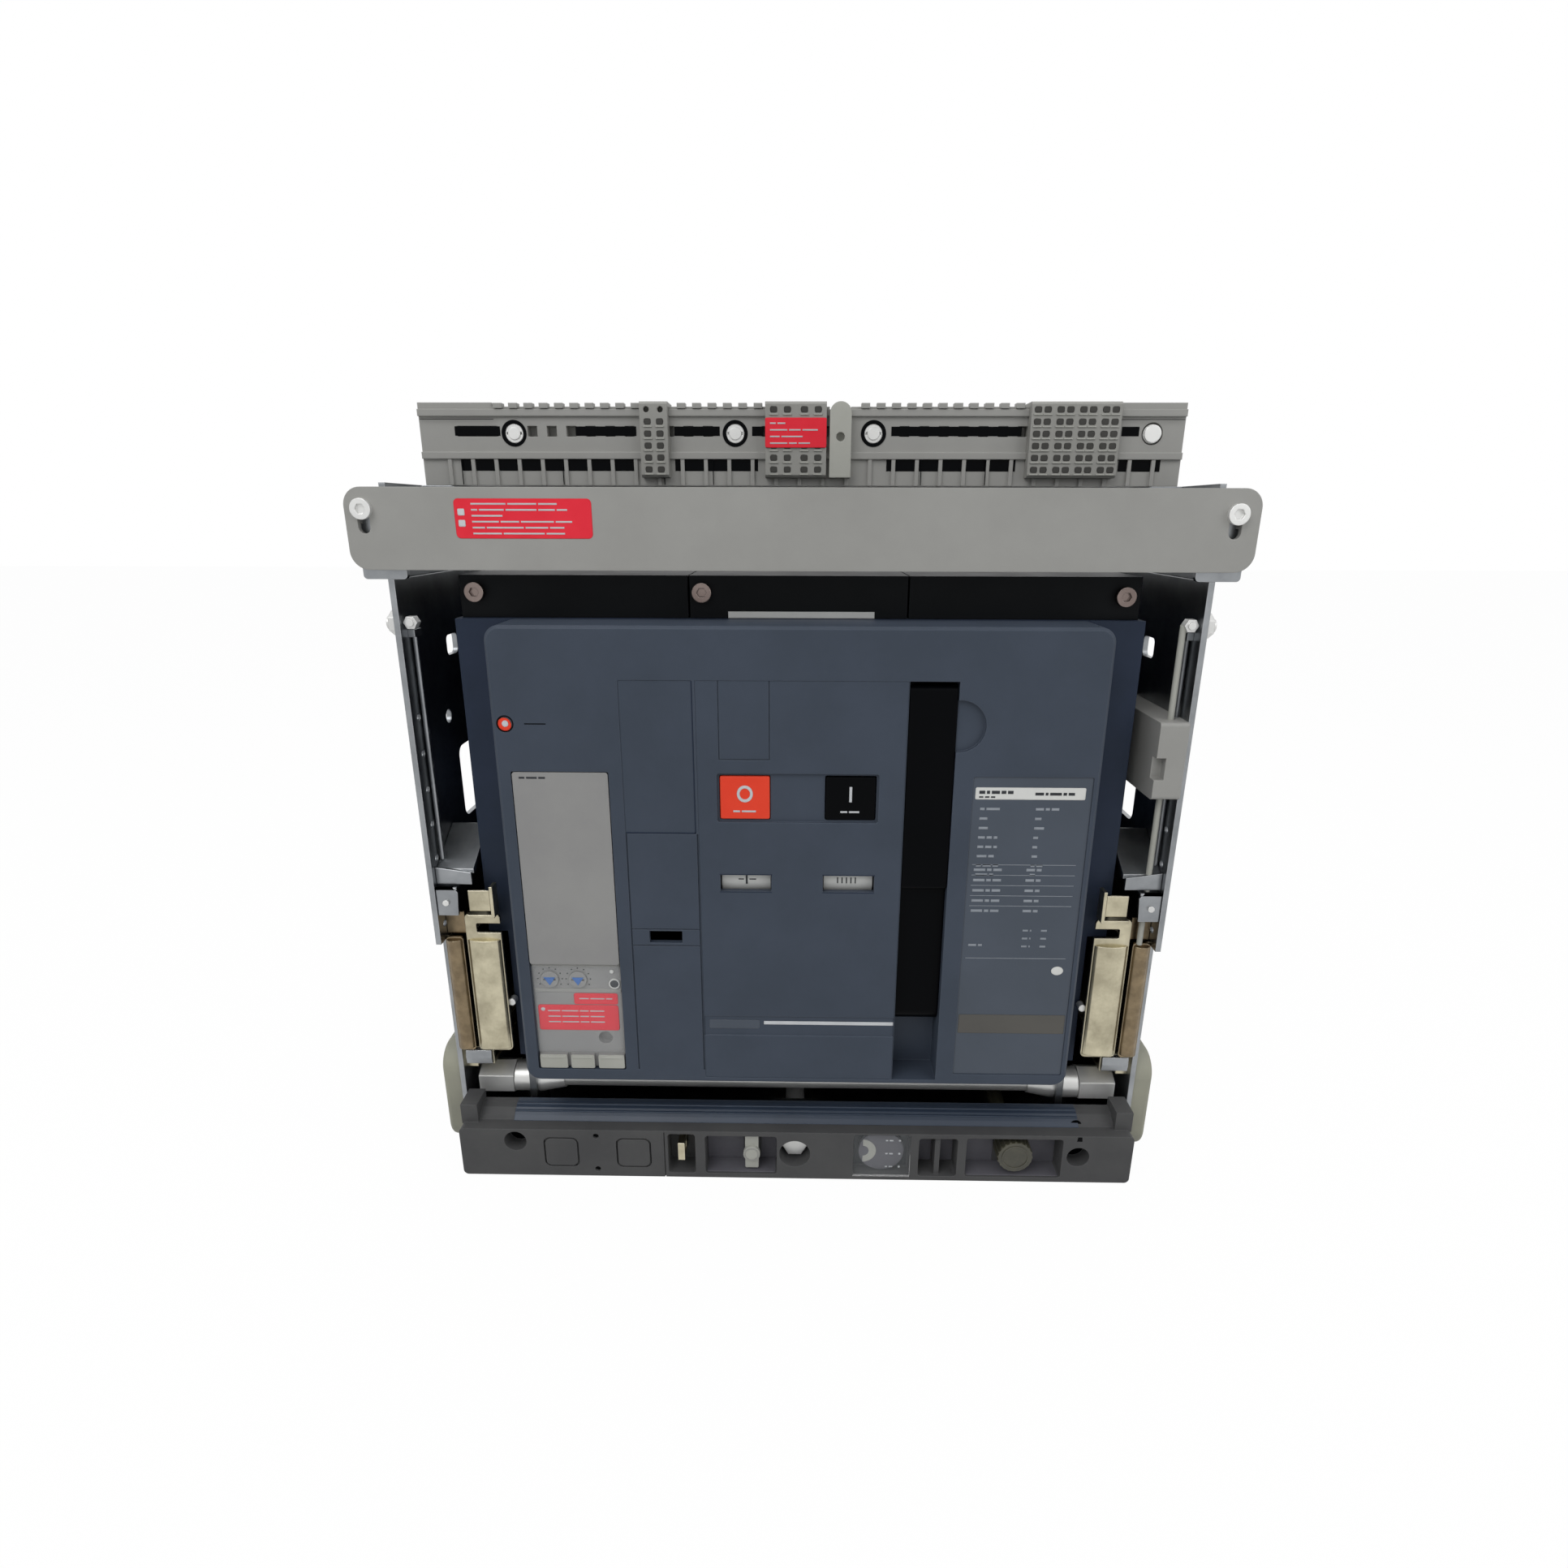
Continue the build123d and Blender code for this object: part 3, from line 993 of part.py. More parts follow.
# Moving pieces on the breaker
save("open_button", push_button(OPEN_X))
save("close_button", push_button(CLOSE_X))
save("reset_button", rod_y(RESET_X, FRONT + 0.3, FRONT + RESET_LENGTH, RESET_Z, RESET_R))
save("charging_handle", charging_handle())
save("trip_flap", trip_flap())
save("trip_dial_left", trip_dial(DIAL_XS[0]))
save("trip_dial_right", trip_dial(DIAL_XS[1]))
save("pole_shaft", pole_shaft())
save("moving_contacts", *[contact_arm(x) for x in POLES])
save("contact_flag", flag_drum(OPEN_X))
save("spring_flag", flag_drum(CLOSE_X))
save("charging_cam", charging_cam())
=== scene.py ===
"""Looks of a drawout low-voltage air circuit breaker in its chassis.

The solids come from the frame. This script dresses them and adds the thin printed, pressed and moulded
detail that sits on them. Lengths are metres, in the frame of the solids: X right, Y to the back, Z up.
"""
import logging
import math
from dataclasses import dataclass, field
from enum import Enum

import bmesh
import bpy
from mathutils import Matrix, Vector


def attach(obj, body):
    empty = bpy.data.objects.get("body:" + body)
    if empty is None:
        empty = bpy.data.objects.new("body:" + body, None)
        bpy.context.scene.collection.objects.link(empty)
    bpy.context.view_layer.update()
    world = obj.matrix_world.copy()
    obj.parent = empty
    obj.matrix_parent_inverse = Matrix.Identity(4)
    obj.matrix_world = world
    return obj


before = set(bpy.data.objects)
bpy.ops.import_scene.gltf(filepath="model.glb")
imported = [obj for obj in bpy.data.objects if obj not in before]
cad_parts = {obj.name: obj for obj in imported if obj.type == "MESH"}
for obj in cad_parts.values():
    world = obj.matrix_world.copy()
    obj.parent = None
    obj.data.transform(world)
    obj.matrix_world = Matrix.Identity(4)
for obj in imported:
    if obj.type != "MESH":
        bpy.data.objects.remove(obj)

LOG = logging.getLogger("breaker")
MM = 0.001
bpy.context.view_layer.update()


def linear(code: str) -> tuple[float, float, float, float]:
    """Turn an sRGB hex colour into linear light.

    Args:
        code: Six hex digits, such as "3A414C".

    Returns:
        Red, green, blue and an alpha of 1.
    """
    parts = [int(code[i:i + 2], 16) / 255 for i in (0, 2, 4)]
    light = [c / 12.92 if c <= 0.04045 else ((c + 0.055) / 1.055) ** 2.4 for c in parts]
    return (light[0], light[1], light[2], 1.0)


def add_node(tree: bpy.types.NodeTree, kind: str, settings: dict = None, links: dict = None) -> bpy.types.Node:
    """Add one shader node, set its sockets and properties, and link its inputs.

    Args:
        tree: The node tree of the material.
        kind: Blender's name of the node type.
        settings: Property or input name to value.
        links: Input name to the output socket that feeds it.

    Returns:
        The new node.
    """
    node = tree.nodes.new(kind)
    for name, value in (settings or {}).items():
        if name in node.inputs:
            node.inputs[name].default_value = value
        else:
            setattr(node, name, value)
    for name, source in (links or {}).items():
        tree.links.new(source, node.inputs[name])
    return node


class Grain(Enum):
    """How a surface was made, which sets the pattern of its relief."""

    MOULDED = "moulded"
    BRUSHED = "brushed"
    SPANGLED = "spangled"
    PRINTED = "printed"


@dataclass(frozen=True)
class Finish:
    """One real material with its surface.

    The colour wanders between two shades over patches a few centimetres wide, edges are a little
    paler, partly painted highlight along the rounded edges and partly wear, and the relief follows the way the surface
    was made.
    """

    name: str
    colour: str
    shade: str
    roughness: float
    grain: Grain = Grain.MOULDED
    grain_mm: float = 0.9
    relief_mm: float = 0.03
    metallic: float = 0.0
    edge: str = ""
    edge_mm: float = 0.7
    coat: float = 0.0
    specular: float = 0.4
    alpha: float = 1.0
    patch_mm: float = 45.0

    def build(self) -> bpy.types.Material:
        """Make the Blender material.

        Returns:
            The material, with its node tree filled.
        """
        material = bpy.data.materials.new(self.name)
        material.use_nodes = True
        tree = material.node_tree
        tree.nodes.clear()
        place = add_node(tree, "ShaderNodeTexCoord").outputs["Object"]
        colour = self.colour_of(tree, place)
        normal = self.relief_of(tree, place)
        rough = add_node(tree, "ShaderNodeTexNoise", {"Scale": 1 / (self.patch_mm * 0.4 * MM), "Detail": 4.0},
                         {"Vector": place})
        rough = add_node(tree, "ShaderNodeMapRange", {"To Min": self.roughness * 0.86, "To Max": self.roughness * 1.16},
                         {"Value": rough.outputs["Fac"]})
        shader = add_node(tree, "ShaderNodeBsdfPrincipled",
                          {"Metallic": self.metallic, "Coat Weight": self.coat, "Coat Roughness": 0.2,
                           "Alpha": self.alpha, "Specular IOR Level": self.specular},
                          {"Base Color": colour, "Roughness": rough.outputs["Result"], "Normal": normal})
        add_node(tree, "ShaderNodeOutputMaterial", {}, {"Surface": shader.outputs["BSDF"]})
        return material

    def colour_of(self, tree: bpy.types.NodeTree, place: bpy.types.NodeSocket) -> bpy.types.NodeSocket:
        """Mix the two shades in patches, and lay the paler edge over them: painted highlight and wear.

        Args:
            tree: The node tree of the material.
            place: The socket with the point in the object's own space.

        Returns:
            The colour socket.
        """
        patch = add_node(tree, "ShaderNodeTexNoise", {"Scale": 1 / (self.patch_mm * MM), "Detail": 6.0,
                                                      "Roughness": 0.6}, {"Vector": place})
        ramp = add_node(tree, "ShaderNodeValToRGB", {}, {"Fac": patch.outputs["Fac"]})
        ramp.color_ramp.elements[0].position = 0.35
        ramp.color_ramp.elements[0].color = linear(self.shade)
        ramp.color_ramp.elements[1].position = 0.65
        ramp.color_ramp.elements[1].color = linear(self.colour)
        if not self.edge:
            return ramp.outputs["Color"]
        soft = add_node(tree, "ShaderNodeBevel", {"samples": 4, "Radius": self.edge_mm * MM})
        flat = add_node(tree, "ShaderNodeNewGeometry")
        meet = add_node(tree, "ShaderNodeVectorMath", {"operation": "DOT_PRODUCT"})
        tree.links.new(soft.outputs["Normal"], meet.inputs[0])
        tree.links.new(flat.outputs["Normal"], meet.inputs[1])
        # Paler rounded edges: painted highlight along the edges, mixed with wear.
        edge_highlight_and_wear = add_node(tree, "ShaderNodeMapRange", {"From Min": 0.99, "From Max": 0.80, "To Min": 0.0, "To Max": 0.65},
                       {"Value": meet.outputs["Value"]})
        mix = add_node(tree, "ShaderNodeMix", {"data_type": "RGBA"})
        tree.links.new(edge_highlight_and_wear.outputs["Result"], mix.inputs[0])
        tree.links.new(ramp.outputs["Color"], mix.inputs[6])
        mix.inputs[7].default_value = linear(self.edge)
        return mix.outputs[2]

    def relief_of(self, tree: bpy.types.NodeTree, place: bpy.types.NodeSocket) -> bpy.types.NodeSocket:
        """Draw the grain as a bump, over edges that the shader rounds.

        Args:
            tree: The node tree of the material.
            place: The socket with the point in the object's own space.

        Returns:
            The normal socket.
        """
        stretch = (1.0, 1.0, 1.0)
        if self.grain is Grain.BRUSHED:
            stretch = (1.0, 1.0, 0.04)
        spread = add_node(tree, "ShaderNodeMapping", {"Scale": stretch}, {"Vector": place})
        if self.grain is Grain.SPANGLED:
            cells = add_node(tree, "ShaderNodeTexVoronoi", {"Scale": 1 / (self.grain_mm * MM)},
                             {"Vector": spread.outputs["Vector"]})
            height = cells.outputs["Distance"]
        else:
            noise = add_node(tree, "ShaderNodeTexNoise", {"Scale": 1 / (self.grain_mm * MM), "Detail": 3.0},
                             {"Vector": spread.outputs["Vector"]})
            height = noise.outputs["Fac"]
        rounded = add_node(tree, "ShaderNodeBevel", {"samples": 4, "Radius": self.edge_mm * MM})
        bump = add_node(tree, "ShaderNodeBump", {"Strength": 0.5, "Distance": self.relief_mm * MM},
                        {"Height": height, "Normal": rounded.outputs["Normal"]})
        return bump.outputs["Normal"]


# Glass-filled polyamide, spark-eroded mould: a soft dark blue-grey sheen with paler edges, partly painted highlight and
# partly rubbed wear.
COVER = Finish("polyamide_blue_grey", "434B58", "3E4652", 0.46, edge="626B78", specular=0.2)
# The same resin behind the cover, painted darker as shade because light barely reaches it; it also draws the painted
# shade lines at the windows and the lock plate.
SHADED_RESIN = Finish("polyamide_painted_shade", "2C3547", "27303F", 0.5, edge="3A465A", specular=0.15)
# The folded shelf above the skirt, bluer and smoother than the skirt.
SHELF = Finish("polyamide_steel_blue", "333E4E", "2D3746", 0.38, edge="4C5A6E", specular=0.4)
# Filled polyester of the lower cover: warmer, matt and dustier.
SKIRT = Finish("polyester_charcoal", "545454", "4B4B4C", 0.58, edge="6C6C6C", specular=0.2)
# Floors of the skirt's recesses, where the mould was polished and dust gathers.
RECESS = Finish("polyester_recess", "6B6A70", "5E5D63", 0.5, edge="7C7B82", specular=0.2)
# Polycarbonate of the shield bar and the carrier: mid grey, slightly warm.
SHIELD = Finish("polycarbonate_grey", "A1A09C", "9B9A96", 0.46, edge="BEBDB8", specular=0.35)
# The terminal bodies, a touch darker than their carrier.
TERMINAL = Finish("polyamide_grey", "9C9B96", "94938E", 0.52, edge="B3B2AD", specular=0.35)
# Blank cover of the trip unit.
TRIP = Finish("abs_grey", "999896", "929190", 0.48, edge="AEADAA", specular=0.35)
# Pale moulded tabs and foot caps.
PALE = Finish("abs_off_white", "B5B5AD", "ABABA2", 0.5, edge="CACAC4", specular=0.35)
# Black thermoset of arc chutes and stored crank: nearly black, dull.
BLACK = Finish("thermoset_black", "131517", "0F1113", 0.45, edge="23252A", specular=0.08)
# Polished black of the charging handle, in the shade of its slot.
GLOSS_BLACK = Finish("gloss_polyamide_black", "050608", "040507", 0.3, relief_mm=0.01, edge="101216", specular=0.04)
# Pressed insulating walls of the chassis.
INSULATOR = Finish("pressed_polyester", "2B2725", "24211F", 0.6, grain_mm=2.0, edge="3A3532", specular=0.1)
# Feet of the side plates, moulded in a dusty olive grey.
FOOT = Finish("pvc_olive_grey", "A3A292", "97968A", 0.55, edge="BBBAAC", specular=0.25)
# Painted shade inside the wire entries: a dark grey film where the holes open.
ENTRY_SHADE = Finish("painted_entry_shade", "4E4D4A", "454442", 0.6, specular=0.1)
# Olive-brown knob of the stored crank, paler on its rim, partly painted highlight and partly wear.
OLIVE_KNOB = Finish("phenolic_olive", "4C4A3C", "3A392E", 0.36, edge="6B6855", specular=0.5, patch_mm=8)
# Glossy push button caps.
ORANGE = Finish("gloss_abs_orange", "F54A30", "EE422A", 0.34, relief_mm=0.01, edge="F7745A", specular=0.2)
INK = Finish("gloss_abs_black", "07080A", "050608", 0.3, relief_mm=0.01, edge="16181C", specular=0.04)
DIAL_BLUE = Finish("acetal_blue", "2F6FBE", "2864B0", 0.35, relief_mm=0.01, edge="79A4D6")
# Printed films: smooth, even colour with a slight unevenness of the ink.
RED_FILM = Finish("vinyl_red", "F23444", "EC2E3E", 0.4, Grain.PRINTED, 3.0, 0.01, patch_mm=20, specular=0.2)
WHITE_FILM = Finish("vinyl_white", "E4E4E0", "DCDCD8", 0.4, Grain.PRINTED, 3.0, 0.01, patch_mm=20)
WHITE_INK = Finish("screen_ink_white", "D6D8DA", "CDCFD2", 0.5, Grain.PRINTED, 2.0, 0.01, patch_mm=12)
GREY_INK = Finish("screen_ink_grey", "9AA0A8", "8F959D", 0.5, Grain.PRINTED, 2.0, 0.01, patch_mm=12)
DARK_INK = Finish("screen_ink_dark", "24272C", "202328", 0.5, Grain.PRINTED, 2.0, 0.01, patch_mm=12)
LABEL = Finish("label_film_blue_grey", "434C59", "3E4753", 0.32, Grain.PRINTED, 4.0, 0.015, edge="7C838D",
               specular=0.45)
OLIVE_FILM = Finish("tinted_film_olive", "55534E", "4F4D49", 0.35, Grain.PRINTED, 3.0, 0.01)
# Zinc plate with yellow passivation: warm, cloudy, drawn in the rolling direction.
ZINC = Finish("zinc_yellow_passivated", "C6BFA6", "A39C86", 0.3, Grain.BRUSHED, 0.6, 0.02, 1.0, edge="DDD8C6",
              patch_mm=14)
# A darker, browner copy of the same zinc for the outer flanges and pressed tabs: painted shade and dark reflection.
SHADED_ZINC = Finish("zinc_painted_shade", "8B7B62", "6C5F4C", 0.32, Grain.BRUSHED, 0.6, 0.02, 1.0, edge="B0A48C",
                    patch_mm=10)
# Hot-dip galvanised sheet: cool grey with faint crystals.
SHEET = Finish("galvanised_sheet", "9A9DA0", "84878A", 0.3, Grain.SPANGLED, 9.0, 0.015, 1.0, edge="C4C6C8",
               patch_mm=22)
# Turned, hexagonal and plated ends, satin from wear.
BRIGHT = Finish("nickel_plated_steel", "E2E2E0", "D0D0CE", 0.36, Grain.BRUSHED, 0.5, 0.01, 0.6, edge="F2F2F0")
# Socket screws of the chutes, blackened steel; the warm tint of the colour is a painted pinkish glint.
BLACKENED_WARM_GLINT = Finish("blackened_steel_warm_glint", "8A7D78", "6E625E", 0.24, Grain.BRUSHED, 0.5, 0.01, 1.0, edge="B5A8A2")
DARK_STEEL = Finish("oiled_spring_steel", "4C4D50", "3F4043", 0.35, Grain.BRUSHED, 0.5, 0.01, 1.0)
# Silver-plated copper, tarnishing to straw.
COPPER = Finish("silver_plated_copper", "C9BDA8", "B9AA90", 0.3, Grain.BRUSHED, 0.8, 0.02, 1.0, edge="C98F62",
                patch_mm=16)
# Clear polycarbonate windows: seen mostly by their highlight.
CLEAR = Finish("clear_polycarbonate", "E6EAEC", "DFE4E7", 0.08, Grain.PRINTED, 6.0, 0.005, alpha=0.05, specular=0.6)


class Wardrobe:
    """Builds each finish once and hands it out."""

    def __init__(self) -> None:
        """Start with nothing built."""
        self.made: dict[str, bpy.types.Material] = {}

    def get(self, finish: Finish) -> bpy.types.Material:
        """Give the Blender material of a finish, made on first use."""
        if finish.name not in self.made:
            self.made[finish.name] = finish.build()
        return self.made[finish.name]

    def dress(self, node: str, finish: Finish) -> None:
        """Put a finish on a solid of the frame."""
        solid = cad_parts[node]
        for index in range(len(solid.material_slots)):
            solid.material_slots[index].material = self.get(finish)
        if not solid.material_slots:
            solid.data.materials.append(self.get(finish))


WARDROBE = Wardrobe()


@dataclass
class Relief:
    """A group of thin raised shapes made as one mesh, in millimetres."""

    name: str
    body: str
    finish: Finish
    slot: str
    mesh: bmesh.types.BMesh = field(default_factory=bmesh.new)

    def bar(self, x0: float, x1: float, y0: float, y1: float, z0: float, z1: float) -> "Relief":
        """Add a slab between two corners."""
        size = Vector((x1 - x0, y1 - y0, z1 - z0)) * MM
        middle = Vector((x0 + x1, y0 + y1, z0 + z1)) * (MM / 2)
        bmesh.ops.create_cube(self.mesh, size=1.0, matrix=Matrix.Translation(middle) @ Matrix.Diagonal((*size, 1.0)))
        return self

    def sticker(self, x0: float, x1: float, z0: float, z1: float, y: float, r: float, t: float = 0.15) -> "Relief":
        """Add a film with round corners whose front lies at y - t."""
        corners = ((x1 - r, z1 - r, 0), (x0 + r, z1 - r, 90), (x0 + r, z0 + r, 180), (x1 - r, z0 + r, 270))
        ring = []
        for cx, cz, start in corners:
            for step in range(5):
                angle = math.radians(start + step * 22.5)
                ring.append((cx + r * math.cos(angle), cz + r * math.sin(angle)))
        self.prism([(x, z) for x, z in ring], y - t, y)
        return self

    def prism(self, ring: list[tuple[float, float]], y0: float, y1: float) -> "Relief":
        """Run an outline in X and Z from y0 to y1."""
        front = [self.mesh.verts.new(Vector((x, y0, z)) * MM) for x, z in ring]
        back = [self.mesh.verts.new(Vector((x, y1, z)) * MM) for x, z in ring]
        self.mesh.faces.new(front)
        self.mesh.faces.new(back[::-1])
        count = len(ring)
        for index in range(count):
            after = (index + 1) % count
            self.mesh.faces.new((front[after], front[index], back[index], back[after]))
        return self

    def run(self, axis: str, ring: list[tuple[float, float]], start: float, end: float) -> "Relief":
        """Run an outline along X or Z; its points are (Y, Z) for X and (X, Y) for Z."""
        sides = []
        for along in (start, end):
            points = [(along, a, b) if axis == "X" else (a, b, along) for a, b in ring]
            sides.append([self.mesh.verts.new(Vector(point) * MM) for point in points])
        near, far = sides
        self.mesh.faces.new(near)
        self.mesh.faces.new(far[::-1])
        for index in range(len(ring)):
            after = (index + 1) % len(ring)
            self.mesh.faces.new((near[after], near[index], far[index], far[after]))
        return self

    def disc(self, x: float, z: float, r: float, y0: float, y1: float, sides: int = 32, squash: float = 1.0) -> "Relief":
        """Add a round or oval disc across the front."""
        turn = 2 * math.pi / sides
        ring = [(x + r * math.cos(turn * i), z + r * squash * math.sin(turn * i)) for i in range(sides)]
        return self.prism(ring, y0, y1)

    def hoop(self, x: float, z: float, r: float, width: float, y0: float, y1: float, squash: float = 1.0) -> "Relief":
        """Add a flat ring across the front, such as the mark on the open button."""
        sides = 40
        turn = 2 * math.pi / sides
        loops = []
        for radius in (r, r - width):
            for y in (y0, y1):
                loops.append([self.mesh.verts.new(Vector((x + radius * math.cos(turn * i), y,
                                                          z + radius * squash * math.sin(turn * i))) * MM)
                              for i in range(sides)])
        outer_front, outer_back, inner_front, inner_back = loops
        for i in range(sides):
            j = (i + 1) % sides
            self.mesh.faces.new((outer_front[i], outer_front[j], inner_front[j], inner_front[i]))
            self.mesh.faces.new((outer_back[j], outer_back[i], inner_back[i], inner_back[j]))
            self.mesh.faces.new((outer_front[j], outer_front[i], outer_back[i], outer_back[j]))
            self.mesh.faces.new((inner_front[i], inner_front[j], inner_back[j], inner_back[i]))
        return self

    def dashes(self, x: float, widths: tuple[float, ...], z: float, height: float, y: float) -> "Relief":
        """Add a row of short bars that stands for a line of print."""
        for width in widths:
            self.bar(x, x + width, y - 0.1, y, z - height / 2, z + height / 2)
            x += width + 0.9
        return self

    def done(self) -> bpy.types.Object:
        """Close the mesh, dress it and let it ride on its body.

        Returns:
            The finished object.
        """
        bmesh.ops.recalc_face_normals(self.mesh, faces=self.mesh.faces)
        data = bpy.data.meshes.new(self.name)
        self.mesh.to_mesh(data)
        self.mesh.free()
        piece = bpy.data.objects.new(self.name, data)
        bpy.context.scene.collection.objects.link(piece)
        data.materials.append(WARDROBE.get(self.finish))
        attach(piece, self.body)
        LOG.info("made %s on %s", self.name, self.body)
        return piece


@dataclass
class Solids:
    """Finishes of the solids that come from the frame."""

    finishes: dict[Finish, tuple[str, ...]] = field(default_factory=lambda: {
        COVER: ("front_cover", "centre_panel", "lock_plate"),
        # The front housing gets the cover resin darkened as painted shade.
        SHADED_RESIN: ("front_housing",),
        SKIRT: ("front_skirt",),
        SHIELD: ("terminal_shield", "terminal_carrier", "interlock_housing"),
        TERMINAL: ("terminal_block_left", "terminal_block_centre", "terminal_block_right"),
        TRIP: ("trip_unit", "trip_cover", "trip_dial_left", "trip_dial_right"),
        PALE: ("end_stop", "interlock_rod", "release_button"),
        FOOT: ("foot_covers",),
        RECESS: ("position_disc",),
        BLACK: ("arc_chutes",),
        GLOSS_BLACK: ("charging_handle",),
        OLIVE_KNOB: ("racking_crank",),
        INSULATOR: ("rear_base", "shutter_guides", "shutter_upper", "shutter_lower", "breaker_base"),
        ORANGE: ("open_button", "reset_button"),
        INK: ("close_button",),
        WHITE_FILM: ("contact_flag", "spring_flag"),
        LABEL: ("rating_plate",),
        ZINC: ("rail_guides", "rail_left", "rail_right", "padlock_tab", "breaker_side_plates",
               "racking_carriage"),
        # The outer flanges get the zinc darkened as painted shade and reflection.
        SHADED_ZINC: ("front_flanges",),
        SHEET: ("side_plate_left", "side_plate_right", "base_plate", "mechanism_frame", "pole_shaft",
                "charging_cam", "terminal_brackets"),
        BRIGHT: ("chassis_fasteners", "cross_shaft", "shaft_bushes", "racking_screw"),
        # The chute bolts: blackened steel with a painted warm glint.
        BLACKENED_WARM_GLINT: ("chute_bolts",),
        DARK_STEEL: ("closing_spring",),
        COPPER: ("rear_terminals", "contact_clusters", "main_blades", "moving_contacts"),
        CLEAR: ("position_window", "trip_flap"),
    })

    def build(self) -> None:
        """Dress every solid, and stop if one was forgotten."""
        done = set()
        for finish, nodes in self.finishes.items():
            for node in nodes:
                WARDROBE.dress(node, finish)
                done.add(node)
        left = set(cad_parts) - done
        if left:
            raise ValueError(f"no finish for {sorted(left)}")
        LOG.info("dressed %d solids", len(done))


@dataclass
class PushButtons:
    """Marks on the two push buttons and the fault lamp."""

    face_y: float = -196.7
    open_x: float = -27.3
    close_x: float = 27.9
    mark_z: float = 244.2
    mark_r: float = 4.2

    def build(self) -> None:
        """Make the ring, the bar and the small line of print under each."""
        ring = Relief("open_mark", "open_button", WHITE_INK, "white_plastic")
        ring.hoop(self.open_x, self.mark_z, self.mark_r, 1.5, self.face_y - 0.12, self.face_y, 1.1)
        ring.dashes(self.open_x - 6.2, (3.6, 7.4), 234.6, 1.0, self.face_y)
        ring.done()
        bar = Relief("close_mark", "close_button", WHITE_INK, "white_plastic")
        bar.bar(self.close_x - 0.7, self.close_x + 0.7, self.face_y - 0.12, self.face_y,
                self.mark_z - self.mark_r, self.mark_z + self.mark_r)
        bar.dashes(self.close_x - 5.2, (3.6, 5.4), 234.6, 1.0, self.face_y)
        bar.done()
        lamp = Relief("fault_lamp", "reset_button", WHITE_INK, "white_plastic")
        lamp.disc(-149.4, 281.2, 1.7, -197.32, -197.2)
        lamp.done()
        rim = Relief("fault_lamp_rim", "breaker", INK, "black_plastic")
        rim.hoop(-149.4, 281.2, 4.4, 0.7, -197.55, -197.4)
        rim.bar(-139.5, -128.5, -197.55, -197.5, 280.9, 281.5)
        rim.done()


@dataclass
class RatingLabel:
    """Rows of plain bars in the place of the rating table."""

    face_y: float = -196.9
    x0: float = 93.5
    x1: float = 150.5
    row_step: float = 5.3

    def build(self) -> None:
        """Make header, rows, rules, spot, tinted band and lower field."""
        y = self.face_y
        head = Relief("rating_header", "breaker", WHITE_FILM, "label_white")
        head.sticker(self.x0 - 1, self.x1 - 1, 242.2, 248.8, y, 0.8)
        head.disc(144.6, 142.5, 3.3, y - 0.15, y, squash=0.8)
        head.done()
        on_head = Relief("rating_header_print", "breaker", DARK_INK, "black_plastic")
        on_head.dashes(self.x0 + 1, (3.0, 1.6, 4.2, 2.4, 2.8), 246.2, 1.7, y - 0.15)
        on_head.dashes(self.x0 + 30, (4.4, 1.4, 6.0, 1.8, 3.2), 245.4, 1.5, y - 0.15)
        on_head.dashes(self.x0 + 1, (2.2, 2.2, 2.2), 243.6, 0.8, y - 0.15)
        on_head.done()
        rows = Relief("rating_print", "breaker", GREY_INK, "label_white")
        left = ((2.4, 7.0), (4.2,), (4.8,), (3.6, 2.8, 2.0), (3.2, 3.4, 2.0), (5.2, 3.0), (2.6, 4.4, 3.0), (6.4, 2.2))
        right = ((4.2, 2.2, 4.0), (3.4,), (5.2,), (2.6,), (2.6,), (3.0,), (2.2, 3.2), (2.8,))
        z = 237.0
        for left_row, right_row in zip(left, right):
            rows.dashes(self.x0 + 2, left_row, z, 1.4, y)
            rows.dashes(self.x0 + 31, right_row, z, 1.4, y)
            z -= self.row_step
        for index in range(5):
            rule_z = 205.6 - index * 6.0
            rows.bar(self.x0, self.x1 - 2, y - 0.1, y, rule_z - 0.18, rule_z + 0.18)
            rows.dashes(self.x0 + 1, (6.2, 2.4, 4.6), rule_z - 2.9, 1.5, y)
            rows.dashes(self.x0 + 29, (4.6, 2.6), rule_z - 2.9, 1.5, y)
        for index in range(3):
            rows.dashes(self.x0 + 30, (3.0, 0.9), 167.0 - index * 4.8, 1.1, y)
            rows.dashes(self.x0 + 40, (3.2,), 167.0 - index * 4.8, 1.1, y)
        rows.dashes(self.x0 + 1, (4.4, 2.2), 158.0, 1.3, y)
        rows.bar(self.x0, self.x1 - 2, y - 0.1, y, 149.8, 150.2)
        rows.done()
        band = Relief("tinted_band", "breaker", OLIVE_FILM, "label_white")
        band.sticker(self.x0 - 1.4, self.x1 + 1.4, 102.4, 114.4, y, 0.6)
        band.done()


